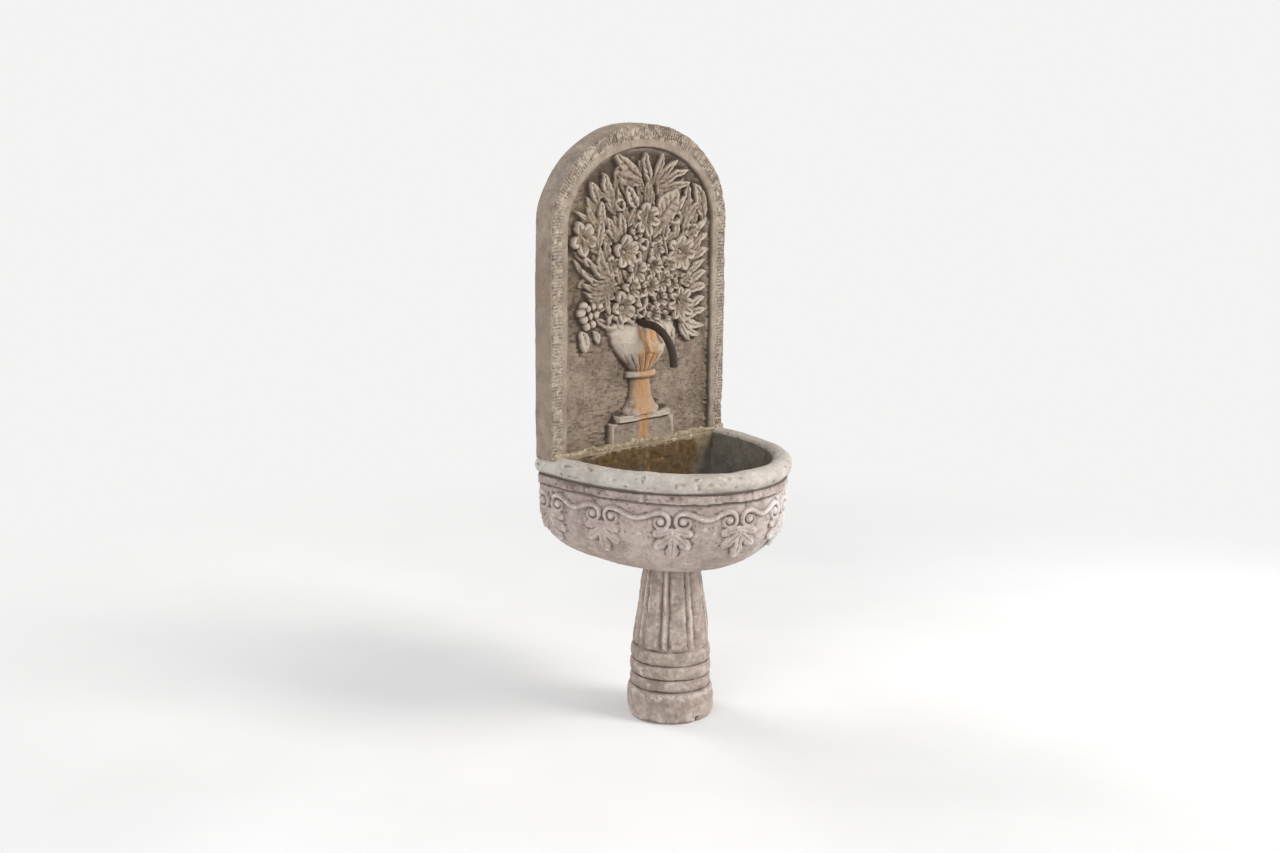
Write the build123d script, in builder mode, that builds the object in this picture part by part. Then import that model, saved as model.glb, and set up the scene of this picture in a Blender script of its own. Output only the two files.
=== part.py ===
from build123d import *
import os
from math import atan2, degrees, hypot, sqrt

os.makedirs("parts", exist_ok=True)

# A stone wall fountain in millimetres: +Z up, front towards -Y, wall at +Y.
# The origin is on the ground, under the middle of the overall box.

# Overall size
overall_width = 800.0
overall_depth = 647.7
overall_height = 1968.5

# Clearances
bedding_gap = 0.05
slip_gap = 0.05
rest_gap = 0.3

# Back panel
panel_thickness = 84.0
panel_side_inset = 2.0
arch_rise = 338.0
frame_width = 72.0
frame_top_width = 86.0
field_depth = 28.0

# Basin
rim_height = 912.0
lip_width = 74.0
lip_height = 66.0
lip_inner_trim = 6.0
band_inset = 12.0
band_height = 33.0
frieze_inset = 22.0
shoulder_height = 700.0
bowl_base_height = 532.0
bowl_base_half_width = 106.0
plan_fullness = 0.58
ledge_depth = 12.0
ledge_drop = 8.0
hollow_side_run = 24.0
hollow_shoulder_height = 720.0
floor_height = 612.0
floor_half_width = 150.0

# Pedestal
pedestal_setback = 155.0
foot_radius = 146.0
foot_chamfer = 6.0
drum_height = 118.0
drum_top_radius = 141.0
lower_ring_height = 39.0
middle_ring_height = 48.0
upper_ring_height = 56.0
ring_groove_radius = 130.0
lower_ring_swell = 6.0
middle_ring_swell = 7.0
upper_ring_swell = 3.0
shaft_base_radius = 126.0
shaft_top_radius = 95.0
reed_pairs = 8
narrow_reed_angle = 13.5
reed_groove_radius = 6.0

# Mortar beds and dowels
bed_thickness = 8.0
bed_edge_inset = 6.0
bed_front_squeeze = 5.0
dowel_radius = 8.0
dowel_embedment = 55.0
panel_dowel_spacing = 500.0
pedestal_dowel_spacing = 146.0

# Wall anchors
anchor_radius = 10.0
anchor_thread_radius = 6.0
anchor_length = 45.0
anchor_thread_length = 38.0
anchor_spacing = 480.0
anchor_drop = 308.5

# Water supply
spout_height = 1311.0
spout_radius = 12.5
spout_bore_radius = 9.0
spout_bend_radius = 128.0
spout_bend_angle = 90.0
spout_reach = 154.0
spout_drop = 12.0
packing_thickness = 5.0
supply_pocket_radius = 38.0
supply_pocket_depth = 34.0
inlet_setback = 2.0
inlet_thread_radius = 12.2
inlet_thread_length = 17.0
spout_washer_radius = 30.0
spout_washer_thickness = 3.0
spout_nut_width = 41.0
spout_nut_thickness = 11.0

# Waste, drain and overflow
waste_radius = 25.0
waste_hole_gap = 1.0
waste_wall = 5.0
waste_flange_radius = 42.0
waste_flange_gap = 1.0
waste_flange_thickness = 5.0
waste_gasket_thickness = 2.0
waste_tail = 48.0
waste_washer_radius = 38.0
waste_washer_thickness = 3.0
waste_nut_width = 68.0
waste_nut_thickness = 12.0
drain_radius = 25.0
drain_wall = 4.0
drain_socket_wall = 4.0
drain_socket_length = 30.0
drain_end_height = 3.0
drain_outlet_radius = 22.5
drain_outlet_length = 45.0
pedestal_bore_gap = 4.0
pedestal_pocket_radius = 46.0
pedestal_pocket_depth = 64.0
overflow_height = 800.0
standpipe_wall = 3.0
standpipe_insert = 45.0
standpipe_collar_radius = 30.0
standpipe_collar_thickness = 8.0
standpipe_seal_thickness = 3.0
pull_bar_radius = 4.0
pull_bar_length = 70.0
pull_bar_drop = 16.0

# Carving on the field: the urn's heights are above the panel's foot
plinth_half_width = 150.0
plinth_height = 72.0
plinth_relief = 24.0
plinth_step_half_width = 126.0
plinth_step_height = 26.0
plinth_step_relief = 32.0
collar_height = 216.0
collar_thickness = 24.0
collar_half_width = 64.0
collar_relief = 40.0
flower_relief = 26.0
leaf_relief = 16.0
# Stem and bowl of the urn: height, half width and relief of each oval section
urn_stem = [(98.0, 90.0, 36.0), (126.0, 70.0, 33.0), (172.0, 48.0, 30.0), (216.0, 45.0, 28.0)]
urn_bowl = [(240.0, 58.0, 36.0), (284.0, 112.0, 46.0), (338.0, 142.0, 46.0), (392.0, 155.0, 38.0)]
# Main flowers: place across, drop below the panel's top, and radius
petal_count = 6
heart_share = 0.5
petal_place_share = 0.62
petal_size_share = 0.38
flowers = [
    (26.0, 316.5, 52.0),
    (-249.0, 363.5, 58.0),
    (-68.0, 416.5, 54.0),
    (186.0, 436.5, 62.0),
    (161.0, 316.5, 32.0),
    (-93.0, 260.5, 30.0),
    (166.0, 615.5, 70.0),
    (-73.0, 597.5, 52.0),
    (-125.0, 646.5, 32.0),
    (-65.0, 664.5, 38.0),
]
# Main leaves: place across, drop below the panel's top, length, width and tilt from upright, to the left
leaves = [
    (-61.0, 136.5, 156.0, 54.0, 58.0),
    (30.0, 142.5, 98.0, 42.0, 13.0),
    (121.0, 167.5, 130.0, 36.0, -49.0),
    (151.0, 189.5, 160.0, 36.0, -70.0),
    (121.0, 271.5, 130.0, 80.0, -46.0),
    (266.0, 268.5, 138.0, 52.0, 22.0),
    (-142.0, 196.5, 101.0, 42.0, 38.0),
    (-202.0, 220.5, 90.0, 38.0, 28.0),
    (-178.0, 493.5, 160.0, 60.0, 76.0),
    (-232.0, 648.5, 150.0, 60.0, 8.0),
    (253.0, 658.5, 125.0, 60.0, -90.0),
    (138.0, 698.0, 87.0, 42.0, -154.0),
    (39.0, 496.0, 110.0, 44.0, 20.0),
]

# Places worked out from the sizes above
half_width = overall_width / 2
wall_y = overall_depth / 2
front_y = -overall_depth / 2
panel_front_y = wall_y - panel_thickness
field_y = panel_front_y + field_depth
axis_y = panel_front_y - pedestal_setback
ledge_height = rim_height - ledge_drop
panel_foot = ledge_height + bed_thickness
panel_height = overall_height - panel_foot
arch_spring = panel_height - arch_rise
lip_middle = rim_height - lip_height / 2
band_foot = rim_height - lip_height - band_height
hollow_inset = lip_width - lip_inner_trim
hollow_back_y = panel_front_y - ledge_depth
curve_start_y = hollow_back_y - hollow_side_run
pedestal_top = bowl_base_height - bed_thickness


def half_round(half, front, shoulder, back):
    """Draws a half-round plan: straight back and sides, then two full curves that meet at the front."""
    side_handle = shoulder - plan_fullness * (shoulder - front)
    front_handle = plan_fullness * half
    Line((half, back), (-half, back))
    Line((-half, back), (-half, shoulder))
    Bezier((-half, shoulder), (-half, side_handle), (-front_handle, front), (0, front))
    Bezier((0, front), (front_handle, front), (half, side_handle), (half, shoulder))
    Line((half, shoulder), (half, back))


def plan(height, inset, back, share=1.0):
    """A plan of the basin at a height, set in from the lip and drawn in to the axis by a share."""
    half = (half_width - inset) * share
    front = axis_y + (front_y + inset - axis_y) * share
    shoulder = axis_y + (curve_start_y - axis_y) * share
    with BuildSketch(Plane.XY.offset(height)) as section:
        with BuildLine():
            half_round(half, front, shoulder, axis_y + (back - axis_y) * share)
        make_face()
    return section.sketch


def bowl_plans(top, bottom, inset, back, last_share):
    """Plans from top to bottom, whose share of the full plan follows a quarter of an ellipse."""
    depths = [0.0, 0.3, 0.55, 0.75, 0.9, 1.0]
    shares = [last_share + (1 - last_share) * sqrt(1 - depth**2) for depth in depths]
    return [plan(top - depth * (top - bottom), inset, back, share) for depth, share in zip(depths, shares)]


def arch(half, spring, rise):
    """An upright panel outline, from its foot up: straight sides to the spring, then half an ellipse."""
    Rectangle(2 * half, spring, align=(Align.CENTER, Align.MIN))
    with Locations((0, spring)):
        Ellipse(half, rise)


def level(height):
    """A flat plane on the pedestal's axis."""
    return Plane((0, axis_y, height))


def upright(y):
    """An upright plane across the fountain, looking to the front, with its origin at the panel's foot."""
    return Plane((0, y, panel_foot), x_dir=(1, 0, 0), z_dir=(0, -1, 0))


def oval_stack(stations):
    """Oval sections of the urn, centred on the field, one for each height, half width and relief."""
    sections = []
    for height, half, relief in stations:
        with BuildSketch(Plane((0, field_y, panel_foot + height))) as section:
            Ellipse(half, relief)
        sections.append(section.sketch)
    return sections


# Back panel: arched slab, sunk field, urn and bouquet, and the holes at its back and foot
panel_half = half_width - panel_side_inset
spout_hole_radius = spout_radius + packing_thickness
dowel_hole_radius = dowel_radius + bedding_gap
with BuildPart() as back_panel:
    with BuildSketch(upright(wall_y)):
        arch(panel_half, arch_spring, arch_rise)
    extrude(amount=panel_thickness)
    with BuildSketch(upright(panel_front_y)):
        arch(panel_half - frame_width, arch_spring, arch_rise - frame_top_width)
    extrude(amount=-field_depth, mode=Mode.SUBTRACT)
    with BuildSketch(upright(field_y)):
        Rectangle(2 * plinth_half_width, plinth_height, align=(Align.CENTER, Align.MIN))
    extrude(amount=plinth_relief)
    with BuildSketch(upright(field_y)):
        with Locations((0, plinth_height)):
            Rectangle(2 * plinth_step_half_width, plinth_step_height, align=(Align.CENTER, Align.MIN))
    extrude(amount=plinth_step_relief)
    loft(sections=oval_stack(urn_stem))
    loft(sections=oval_stack(urn_bowl))
    with BuildSketch(Plane((0, field_y, panel_foot + collar_height))):
        Ellipse(collar_half_width, collar_relief)
    extrude(amount=collar_thickness)
    with BuildSketch(upright(field_y)):
        for across, drop, length, width, tilt in leaves:
            with Locations(Location((across, panel_height - drop), tilt)):
                Ellipse(width / 2, length / 2)
    extrude(amount=leaf_relief)
    with BuildSketch(upright(field_y)):
        for across, drop, radius in flowers:
            with Locations((across, panel_height - drop)):
                Circle(heart_share * radius)
                with PolarLocations(petal_place_share * radius, petal_count):
                    Circle(petal_size_share * radius)
    extrude(amount=flower_relief)
    with BuildSketch(upright(wall_y)):
        with Locations((0, spout_height - panel_foot)):
            Circle(supply_pocket_radius)
    extrude(amount=supply_pocket_depth, mode=Mode.SUBTRACT)
    with BuildSketch(upright(wall_y)):
        with Locations((0, spout_height - panel_foot)):
            Circle(spout_hole_radius)
    extrude(amount=2 * panel_thickness, mode=Mode.SUBTRACT)
    with BuildSketch(upright(wall_y)):
        with Locations((0, panel_height - anchor_drop)):
            with GridLocations(anchor_spacing, 0, 2, 1):
                Circle(anchor_radius + bedding_gap)
    extrude(amount=anchor_length + bedding_gap, mode=Mode.SUBTRACT)
    with BuildSketch(Plane((0, wall_y - panel_thickness / 2, panel_foot))):
        with GridLocations(panel_dowel_spacing, 0, 2, 1):
            Circle(dowel_hole_radius)
    extrude(amount=dowel_embedment, mode=Mode.SUBTRACT)
back_panel.part.label = "back_panel"
export_step(back_panel.part, "parts/back_panel.step")

# Basin: bowl, frieze wall, band and rolled lip, hollowed, with a ledge for the panel
waste_hole_radius = waste_radius + waste_hole_gap
waste_seat_depth = waste_flange_thickness + waste_gasket_thickness
bowl_last_share = bowl_base_half_width / (half_width - frieze_inset)
floor_share = floor_half_width / (half_width - hollow_inset)
with BuildPart() as basin:
    loft(sections=bowl_plans(shoulder_height, bowl_base_height, frieze_inset, wall_y, bowl_last_share))
    extrude(to_extrude=plan(shoulder_height, frieze_inset, wall_y), amount=lip_middle - shoulder_height)
    extrude(to_extrude=plan(band_foot, band_inset, wall_y), amount=lip_middle - band_foot)
    with BuildLine(Plane.XY.offset(lip_middle)) as lip_path:
        lip_half = half_width - lip_width / 2
        lip_front = front_y + lip_width / 2
        side_handle = curve_start_y - plan_fullness * (curve_start_y - lip_front)
        front_handle = plan_fullness * lip_half
        Line((lip_half, wall_y), (lip_half, curve_start_y))
        lip_tip = (0, lip_front)
        Bezier((lip_half, curve_start_y), (lip_half, side_handle), (front_handle, lip_front), lip_tip)
        Bezier(lip_tip, (-front_handle, lip_front), (-lip_half, side_handle), (-lip_half, curve_start_y))
        Line((-lip_half, curve_start_y), (-lip_half, wall_y))
    with BuildSketch(Plane((lip_half, wall_y, lip_middle), x_dir=(1, 0, 0), z_dir=(0, -1, 0))):
        Ellipse(lip_width / 2, lip_height / 2)
    sweep(path=lip_path.wire())
    with BuildSketch(Plane((0, wall_y, shoulder_height))):
        Rectangle(2 * (half_width - frieze_inset), wall_y - hollow_back_y, align=(Align.CENTER, Align.MAX))
    extrude(amount=ledge_height - shoulder_height)
    loft(
        sections=bowl_plans(hollow_shoulder_height, floor_height, hollow_inset, hollow_back_y, floor_share),
        mode=Mode.SUBTRACT,
    )
    extrude(
        to_extrude=plan(hollow_shoulder_height, hollow_inset, hollow_back_y),
        amount=overall_height - hollow_shoulder_height,
        mode=Mode.SUBTRACT,
    )
    with BuildSketch(Plane((0, wall_y, ledge_height))):
        Rectangle(2 * overall_width, panel_thickness + bed_front_squeeze, align=(Align.CENTER, Align.MAX))
    extrude(amount=overall_height - ledge_height, mode=Mode.SUBTRACT)
    with BuildSketch(level(bowl_base_height)):
        Rectangle(2 * overall_width, 2 * overall_depth)
    extrude(amount=-bowl_base_height, mode=Mode.SUBTRACT)
    with BuildSketch(level(floor_height)):
        Circle(waste_flange_radius + waste_flange_gap)
    extrude(amount=-waste_seat_depth, mode=Mode.SUBTRACT)
    with BuildSketch(level(floor_height)):
        Circle(waste_hole_radius)
    extrude(amount=-floor_height, mode=Mode.SUBTRACT)
    with BuildSketch(level(bowl_base_height)):
        with GridLocations(pedestal_dowel_spacing, 0, 2, 1):
            Circle(dowel_hole_radius)
    extrude(amount=dowel_embedment, mode=Mode.SUBTRACT)
    with BuildSketch(Plane((0, wall_y - panel_thickness / 2, ledge_height))):
        with GridLocations(panel_dowel_spacing, 0, 2, 1):
            Circle(dowel_hole_radius)
    extrude(amount=-dowel_embedment, mode=Mode.SUBTRACT)
basin.part.label = "basin"
export_step(basin.part, "parts/basin.step")

# Pedestal: drum foot, three rings and a reeded shaft, bored for the drain
drain_socket_radius = waste_radius + slip_gap + drain_socket_wall
pedestal_bore_radius = drain_socket_radius + pedestal_bore_gap
lower_ring_top = drum_height + lower_ring_height
middle_ring_top = lower_ring_top + middle_ring_height
shaft_foot = middle_ring_top + upper_ring_height
pocket_floor = pedestal_top - pedestal_pocket_depth
shaft_rise = pedestal_top - shaft_foot
shaft_lean = degrees(atan2(shaft_base_radius - shaft_top_radius, shaft_rise))
shaft_length = hypot(shaft_rise, shaft_base_radius - shaft_top_radius)
with BuildPart() as pedestal:
    with BuildSketch(Plane((0, axis_y, 0), x_dir=(1, 0, 0), z_dir=(0, -1, 0))):
        with BuildLine():
            Polyline(
                (pedestal_bore_radius, 0),
                (foot_radius - foot_chamfer, 0),
                (foot_radius, foot_chamfer),
                (drum_top_radius, drum_height),
                (ring_groove_radius, drum_height),
            )
            ThreePointArc(
                (ring_groove_radius, drum_height),
                (ring_groove_radius + lower_ring_swell, drum_height + lower_ring_height / 2),
                (ring_groove_radius, lower_ring_top),
            )
            ThreePointArc(
                (ring_groove_radius, lower_ring_top),
                (ring_groove_radius + middle_ring_swell, lower_ring_top + middle_ring_height / 2),
                (ring_groove_radius, middle_ring_top),
            )
            ThreePointArc(
                (ring_groove_radius, middle_ring_top),
                (ring_groove_radius + upper_ring_swell, middle_ring_top + upper_ring_height / 2),
                (shaft_base_radius, shaft_foot),
            )
            Polyline(
                (shaft_base_radius, shaft_foot),
                (shaft_top_radius, pedestal_top),
                (pedestal_pocket_radius, pedestal_top),
                (pedestal_pocket_radius, pocket_floor),
                (pedestal_bore_radius, pocket_floor),
                (pedestal_bore_radius, 0),
            )
        make_face()
    revolve(axis=Axis((0, axis_y, 0), (0, 0, 1)))
    reed_middle_radius = (shaft_base_radius + shaft_top_radius) / 2
    with Locations(level(shaft_foot + shaft_rise / 2 + reed_groove_radius)):
        for start in (-narrow_reed_angle / 2, narrow_reed_angle / 2):
            with PolarLocations(reed_middle_radius, reed_pairs, start_angle=start):
                Cylinder(
                    reed_groove_radius,
                    shaft_length,
                    rotation=(0, -shaft_lean, 0),
                    mode=Mode.SUBTRACT,
                )
    with BuildSketch(level(pedestal_top)):
        with GridLocations(pedestal_dowel_spacing, 0, 2, 1):
            Circle(dowel_hole_radius)
    extrude(amount=-dowel_embedment, mode=Mode.SUBTRACT)
pedestal.part.label = "pedestal"
export_step(pedestal.part, "parts/pedestal.step")

# Mortar bed under the panel, squeezed out a little at the front
with BuildPart() as panel_bed:
    with BuildSketch(Plane((0, wall_y, ledge_height))):
        Rectangle(
            2 * (panel_half - bed_edge_inset),
            panel_thickness + bed_front_squeeze,
            align=(Align.CENTER, Align.MAX),
        )
        with Locations((0, -panel_thickness / 2)):
            with GridLocations(panel_dowel_spacing, 0, 2, 1):
                Circle(dowel_hole_radius, mode=Mode.SUBTRACT)
    extrude(amount=bed_thickness)
panel_bed.part.label = "panel_bed"
export_step(panel_bed.part, "parts/panel_bed.step")

# Mortar bed between the pedestal and the basin
with BuildPart() as pedestal_bed:
    with BuildSketch(level(pedestal_top)):
        Circle(shaft_top_radius - bed_edge_inset)
        Circle(pedestal_pocket_radius, mode=Mode.SUBTRACT)
        with GridLocations(pedestal_dowel_spacing, 0, 2, 1):
            Circle(dowel_hole_radius, mode=Mode.SUBTRACT)
    extrude(amount=bed_thickness)
pedestal_bed.part.label = "pedestal_bed"
export_step(pedestal_bed.part, "parts/pedestal_bed.step")

# Dowels that key the three stones
dowel_length = 2 * dowel_embedment + bed_thickness
with BuildPart() as panel_dowels:
    with BuildSketch(Plane((0, wall_y - panel_thickness / 2, ledge_height - dowel_embedment))):
        with GridLocations(panel_dowel_spacing, 0, 2, 1):
            Circle(dowel_radius)
    extrude(amount=dowel_length)
panel_dowels.part.label = "panel_dowels"
export_step(panel_dowels.part, "parts/panel_dowels.step")

with BuildPart() as pedestal_dowels:
    with BuildSketch(level(pedestal_top - dowel_embedment)):
        with GridLocations(pedestal_dowel_spacing, 0, 2, 1):
            Circle(dowel_radius)
    extrude(amount=dowel_length)
pedestal_dowels.part.label = "pedestal_dowels"
export_step(pedestal_dowels.part, "parts/pedestal_dowels.step")

# Threaded sockets in the back of the panel
with BuildPart() as wall_anchors:
    with BuildSketch(upright(wall_y)):
        with Locations((0, panel_height - anchor_drop)):
            with GridLocations(anchor_spacing, 0, 2, 1):
                Circle(anchor_radius)
    extrude(amount=anchor_length)
    with BuildSketch(upright(wall_y)):
        with Locations((0, panel_height - anchor_drop)):
            with GridLocations(anchor_spacing, 0, 2, 1):
                Circle(anchor_thread_radius)
    extrude(amount=anchor_thread_length, mode=Mode.SUBTRACT)
wall_anchors.part.label = "wall_anchors"
export_step(wall_anchors.part, "parts/wall_anchors.step")

# Spout: a pipe through the panel, bent down over the basin
inlet_y = wall_y - inlet_setback
bend_y = panel_front_y - spout_reach + spout_bend_radius
with BuildPart() as spout:
    with BuildLine(Plane.YZ) as spout_path:
        run = Line((inlet_y, spout_height), (bend_y, spout_height))
        bend = JernArc(start=run @ 1, tangent=run % 1, radius=spout_bend_radius, arc_size=spout_bend_angle)
        Line(bend @ 1, bend @ 1 + spout_drop * (bend % 1))
    with BuildSketch(Plane((0, inlet_y, spout_height), x_dir=(1, 0, 0), z_dir=(0, -1, 0))):
        Circle(spout_radius)
        Circle(spout_bore_radius, mode=Mode.SUBTRACT)
    sweep(path=spout_path.wire())
    with BuildSketch(Plane((0, inlet_y, spout_height), x_dir=(1, 0, 0), z_dir=(0, -1, 0))):
        Circle(2 * spout_radius)
        Circle(inlet_thread_radius, mode=Mode.SUBTRACT)
    extrude(amount=inlet_thread_length, mode=Mode.SUBTRACT)
spout.part.label = "spout"
export_step(spout.part, "parts/spout.step")

# Packing round the pipe, from the field to the floor of the pocket
pocket_y = wall_y - supply_pocket_depth
with BuildPart() as spout_packing:
    with BuildSketch(upright(pocket_y)):
        with Locations((0, spout_height - panel_foot)):
            Circle(spout_hole_radius - bedding_gap)
            Circle(spout_radius + bedding_gap, mode=Mode.SUBTRACT)
    extrude(amount=pocket_y - field_y)
spout_packing.part.label = "spout_packing"
export_step(spout_packing.part, "parts/spout_packing.step")

with BuildPart() as spout_washer:
    with BuildSketch(upright(pocket_y + spout_washer_thickness)):
        with Locations((0, spout_height - panel_foot)):
            Circle(spout_washer_radius)
            Circle(spout_radius + bedding_gap, mode=Mode.SUBTRACT)
    extrude(amount=spout_washer_thickness)
spout_washer.part.label = "spout_washer"
export_step(spout_washer.part, "parts/spout_washer.step")

with BuildPart() as spout_lock_nut:
    with BuildSketch(upright(pocket_y + spout_washer_thickness + spout_nut_thickness)):
        with Locations((0, spout_height - panel_foot)):
            RegularPolygon(spout_nut_width / 2, 6, major_radius=False)
            Circle(spout_radius + bedding_gap, mode=Mode.SUBTRACT)
    extrude(amount=spout_nut_thickness)
spout_lock_nut.part.label = "spout_lock_nut"
export_step(spout_lock_nut.part, "parts/spout_lock_nut.step")

# Waste: flanged tube through the basin's floor, held from below
waste_bore_radius = waste_radius - waste_wall
waste_seat = floor_height - waste_seat_depth
waste_foot = bowl_base_height - waste_tail
with BuildPart() as waste_body:
    with BuildSketch(level(waste_foot)):
        Circle(waste_radius)
    extrude(amount=floor_height - waste_foot)
    with BuildSketch(level(floor_height)):
        Circle(waste_flange_radius)
    extrude(amount=-waste_flange_thickness)
    with BuildSketch(level(waste_foot)):
        Circle(waste_bore_radius)
    extrude(amount=floor_height - waste_foot, mode=Mode.SUBTRACT)
waste_body.part.label = "waste_body"
export_step(waste_body.part, "parts/waste_body.step")

with BuildPart() as waste_gasket:
    with BuildSketch(level(waste_seat)):
        Circle(waste_flange_radius)
        Circle(waste_radius + bedding_gap, mode=Mode.SUBTRACT)
    extrude(amount=waste_gasket_thickness)
waste_gasket.part.label = "waste_gasket"
export_step(waste_gasket.part, "parts/waste_gasket.step")

with BuildPart() as waste_washer:
    with BuildSketch(level(bowl_base_height)):
        Circle(waste_washer_radius)
        Circle(waste_radius + bedding_gap, mode=Mode.SUBTRACT)
    extrude(amount=-waste_washer_thickness)
waste_washer.part.label = "waste_washer"
export_step(waste_washer.part, "parts/waste_washer.step")

with BuildPart() as waste_nut:
    with BuildSketch(level(bowl_base_height - waste_washer_thickness)):
        RegularPolygon(waste_nut_width / 2, 6, major_radius=False)
        Circle(waste_radius + bedding_gap, mode=Mode.SUBTRACT)
    extrude(amount=-waste_nut_thickness)
waste_nut.part.label = "waste_nut"
export_step(waste_nut.part, "parts/waste_nut.step")

# Drain pipe: a socket slipped over the waste, then a pipe down to the foot
socket_foot = waste_foot - drain_socket_wall
with BuildPart() as drain_pipe:
    with BuildSketch(level(drain_end_height)):
        Circle(drain_radius)
    extrude(amount=socket_foot - drain_end_height)
    with BuildSketch(level(socket_foot)):
        Circle(drain_socket_radius)
    extrude(amount=drain_socket_wall + drain_socket_length)
    with BuildSketch(level(waste_foot)):
        Circle(waste_radius + slip_gap)
    extrude(amount=drain_socket_length, mode=Mode.SUBTRACT)
    with BuildSketch(level(drain_end_height)):
        Circle(drain_radius - drain_wall)
    extrude(amount=waste_foot - drain_end_height, mode=Mode.SUBTRACT)
    with BuildSketch(level(drain_end_height)):
        Circle(drain_outlet_radius)
    extrude(amount=drain_outlet_length, mode=Mode.SUBTRACT)
drain_pipe.part.label = "drain_pipe"
export_step(drain_pipe.part, "parts/drain_pipe.step")

# Overflow standpipe: stands in the waste on a collar and seal, and lifts straight out
standpipe_radius = waste_bore_radius - slip_gap
collar_foot = floor_height + rest_gap + standpipe_seal_thickness
with BuildPart() as standpipe:
    with BuildSketch(level(floor_height - standpipe_insert)):
        Circle(standpipe_radius)
    extrude(amount=overflow_height - floor_height + standpipe_insert)
    with BuildSketch(level(collar_foot)):
        Circle(standpipe_collar_radius)
    extrude(amount=standpipe_collar_thickness)
    with BuildSketch(level(floor_height - standpipe_insert)):
        Circle(standpipe_radius - standpipe_wall)
    extrude(amount=overflow_height - floor_height + standpipe_insert, mode=Mode.SUBTRACT)
    with Locations(level(overflow_height - pull_bar_drop)):
        Cylinder(
            pull_bar_radius + bedding_gap,
            pull_bar_length,
            rotation=(0, 90, 0),
            mode=Mode.SUBTRACT,
        )
standpipe.part.label = "standpipe"
export_step(standpipe.part, "parts/standpipe.step")

with BuildPart() as standpipe_seal:
    with BuildSketch(level(collar_foot)):
        Circle(standpipe_collar_radius)
        Circle(standpipe_radius + bedding_gap, mode=Mode.SUBTRACT)
    extrude(amount=-standpipe_seal_thickness)
standpipe_seal.part.label = "standpipe_seal"
export_step(standpipe_seal.part, "parts/standpipe_seal.step")

with BuildPart() as pull_bar:
    with Locations(level(overflow_height - pull_bar_drop)):
        Cylinder(pull_bar_radius, pull_bar_length, rotation=(0, 90, 0))
pull_bar.part.label = "pull_bar"
export_step(pull_bar.part, "parts/pull_bar.step")
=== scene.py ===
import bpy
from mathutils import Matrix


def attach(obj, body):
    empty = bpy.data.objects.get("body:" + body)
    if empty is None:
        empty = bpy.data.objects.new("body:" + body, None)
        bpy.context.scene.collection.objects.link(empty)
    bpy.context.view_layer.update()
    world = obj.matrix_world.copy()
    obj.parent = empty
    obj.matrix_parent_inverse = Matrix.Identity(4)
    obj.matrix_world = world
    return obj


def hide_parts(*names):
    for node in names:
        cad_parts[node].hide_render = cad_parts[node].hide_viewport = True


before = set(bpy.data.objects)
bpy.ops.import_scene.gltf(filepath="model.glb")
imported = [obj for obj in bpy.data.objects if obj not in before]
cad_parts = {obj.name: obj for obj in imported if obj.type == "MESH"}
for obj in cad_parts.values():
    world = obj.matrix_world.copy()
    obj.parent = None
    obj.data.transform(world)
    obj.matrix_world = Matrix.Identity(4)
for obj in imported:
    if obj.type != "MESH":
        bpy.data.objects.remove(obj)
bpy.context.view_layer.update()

import math

import bmesh
import bpy
import numpy as np
from mathutils import Matrix, Vector

# Sizes in millimetres, with +Z up, the front towards -Y and the wall at +Y
MM = 0.001
HALF_WIDTH, WALL, FRONT = 400.0, 323.85, -323.85
PANEL_HALF, PANEL_FRONT, PANEL_FOOT = 398.0, 239.85, 912.0
SPRING, ARCH_RISE = 1630.5, 338.0
FIELD, FIELD_HALF, FIELD_RISE = 267.85, 326.0, 257.0
SOCKET_SIDE, SOCKET_HEIGHT = 240.0, 1660.0
AXIS, CURVE_START, FULLNESS = 84.85, 203.85, 0.58
LIP_MIDDLE, LIP_WIDE, LIP_HIGH, LEDGE = 879.0, 37.0, 33.0, 904.0
FRIEZE_INSET, FRIEZE_FOOT, SHOULDER = 22.0, 628.0, 740.0
BOWL_BASE, BOWL_SHARE = 532.0, 106.0 / 378.0
HOLLOW_INSET, HOLLOW_BACK, HOLLOW_SHOULDER = 68.0, 227.85, 720.0
FLOOR, FLOOR_SHARE, WASTE_RADIUS = 612.0, 150.0 / 332.0, 42.6
SPOUT_HEIGHT, SPOUT_RADIUS, SPOUT_BORE = 1311.0, 13.5, 9.0
SPOUT_BEND, SPOUT_REACH, SPOUT_DROP = 122.0, 150.0, 5.0
PEDESTAL_TOP = 524.0

# The height of carving where there is none, below any ground
ABSENT = -9.0
# Values kept on the points of a piece, for its finish: grime with painted shade, pale wear with painted
# highlight, stain and damp
MARKS = ("dirt_and_shade", "pale_and_highlight", "stain", "damp")


def ease(value, low, high):
    """0 below low, 1 above high and a smooth S-curve between them."""
    part = np.clip((value - low) / (high - low), 0, 1)
    return part * part * (3 - 2 * part)


def dome(value):
    """Half a circle over -1 to 1: the square root of 1 less the value squared, and 0 outside."""
    return np.sqrt(np.clip(1 - value**2, 0, 1))


def bell(value, width):
    """A bell curve: 1 at 0, and 1 over e at the width."""
    return np.exp(-(value / width)**2)


def joined(x, y, z):
    """Points from their three coordinates, each repeated as far as the others need."""
    return np.stack(np.broadcast_arrays(x, y, z), -1)


def walked(x, y):
    """The distance along a line of points from its first one."""
    return np.concatenate([[0], np.cumsum(np.hypot(np.diff(x), np.diff(y)))])


# Factors that mix the three counts of a lattice corner, and how many random values there are
MIXERS, TABLE_LENGTH = (73856093, 19349663, 83492791), 8192


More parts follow.
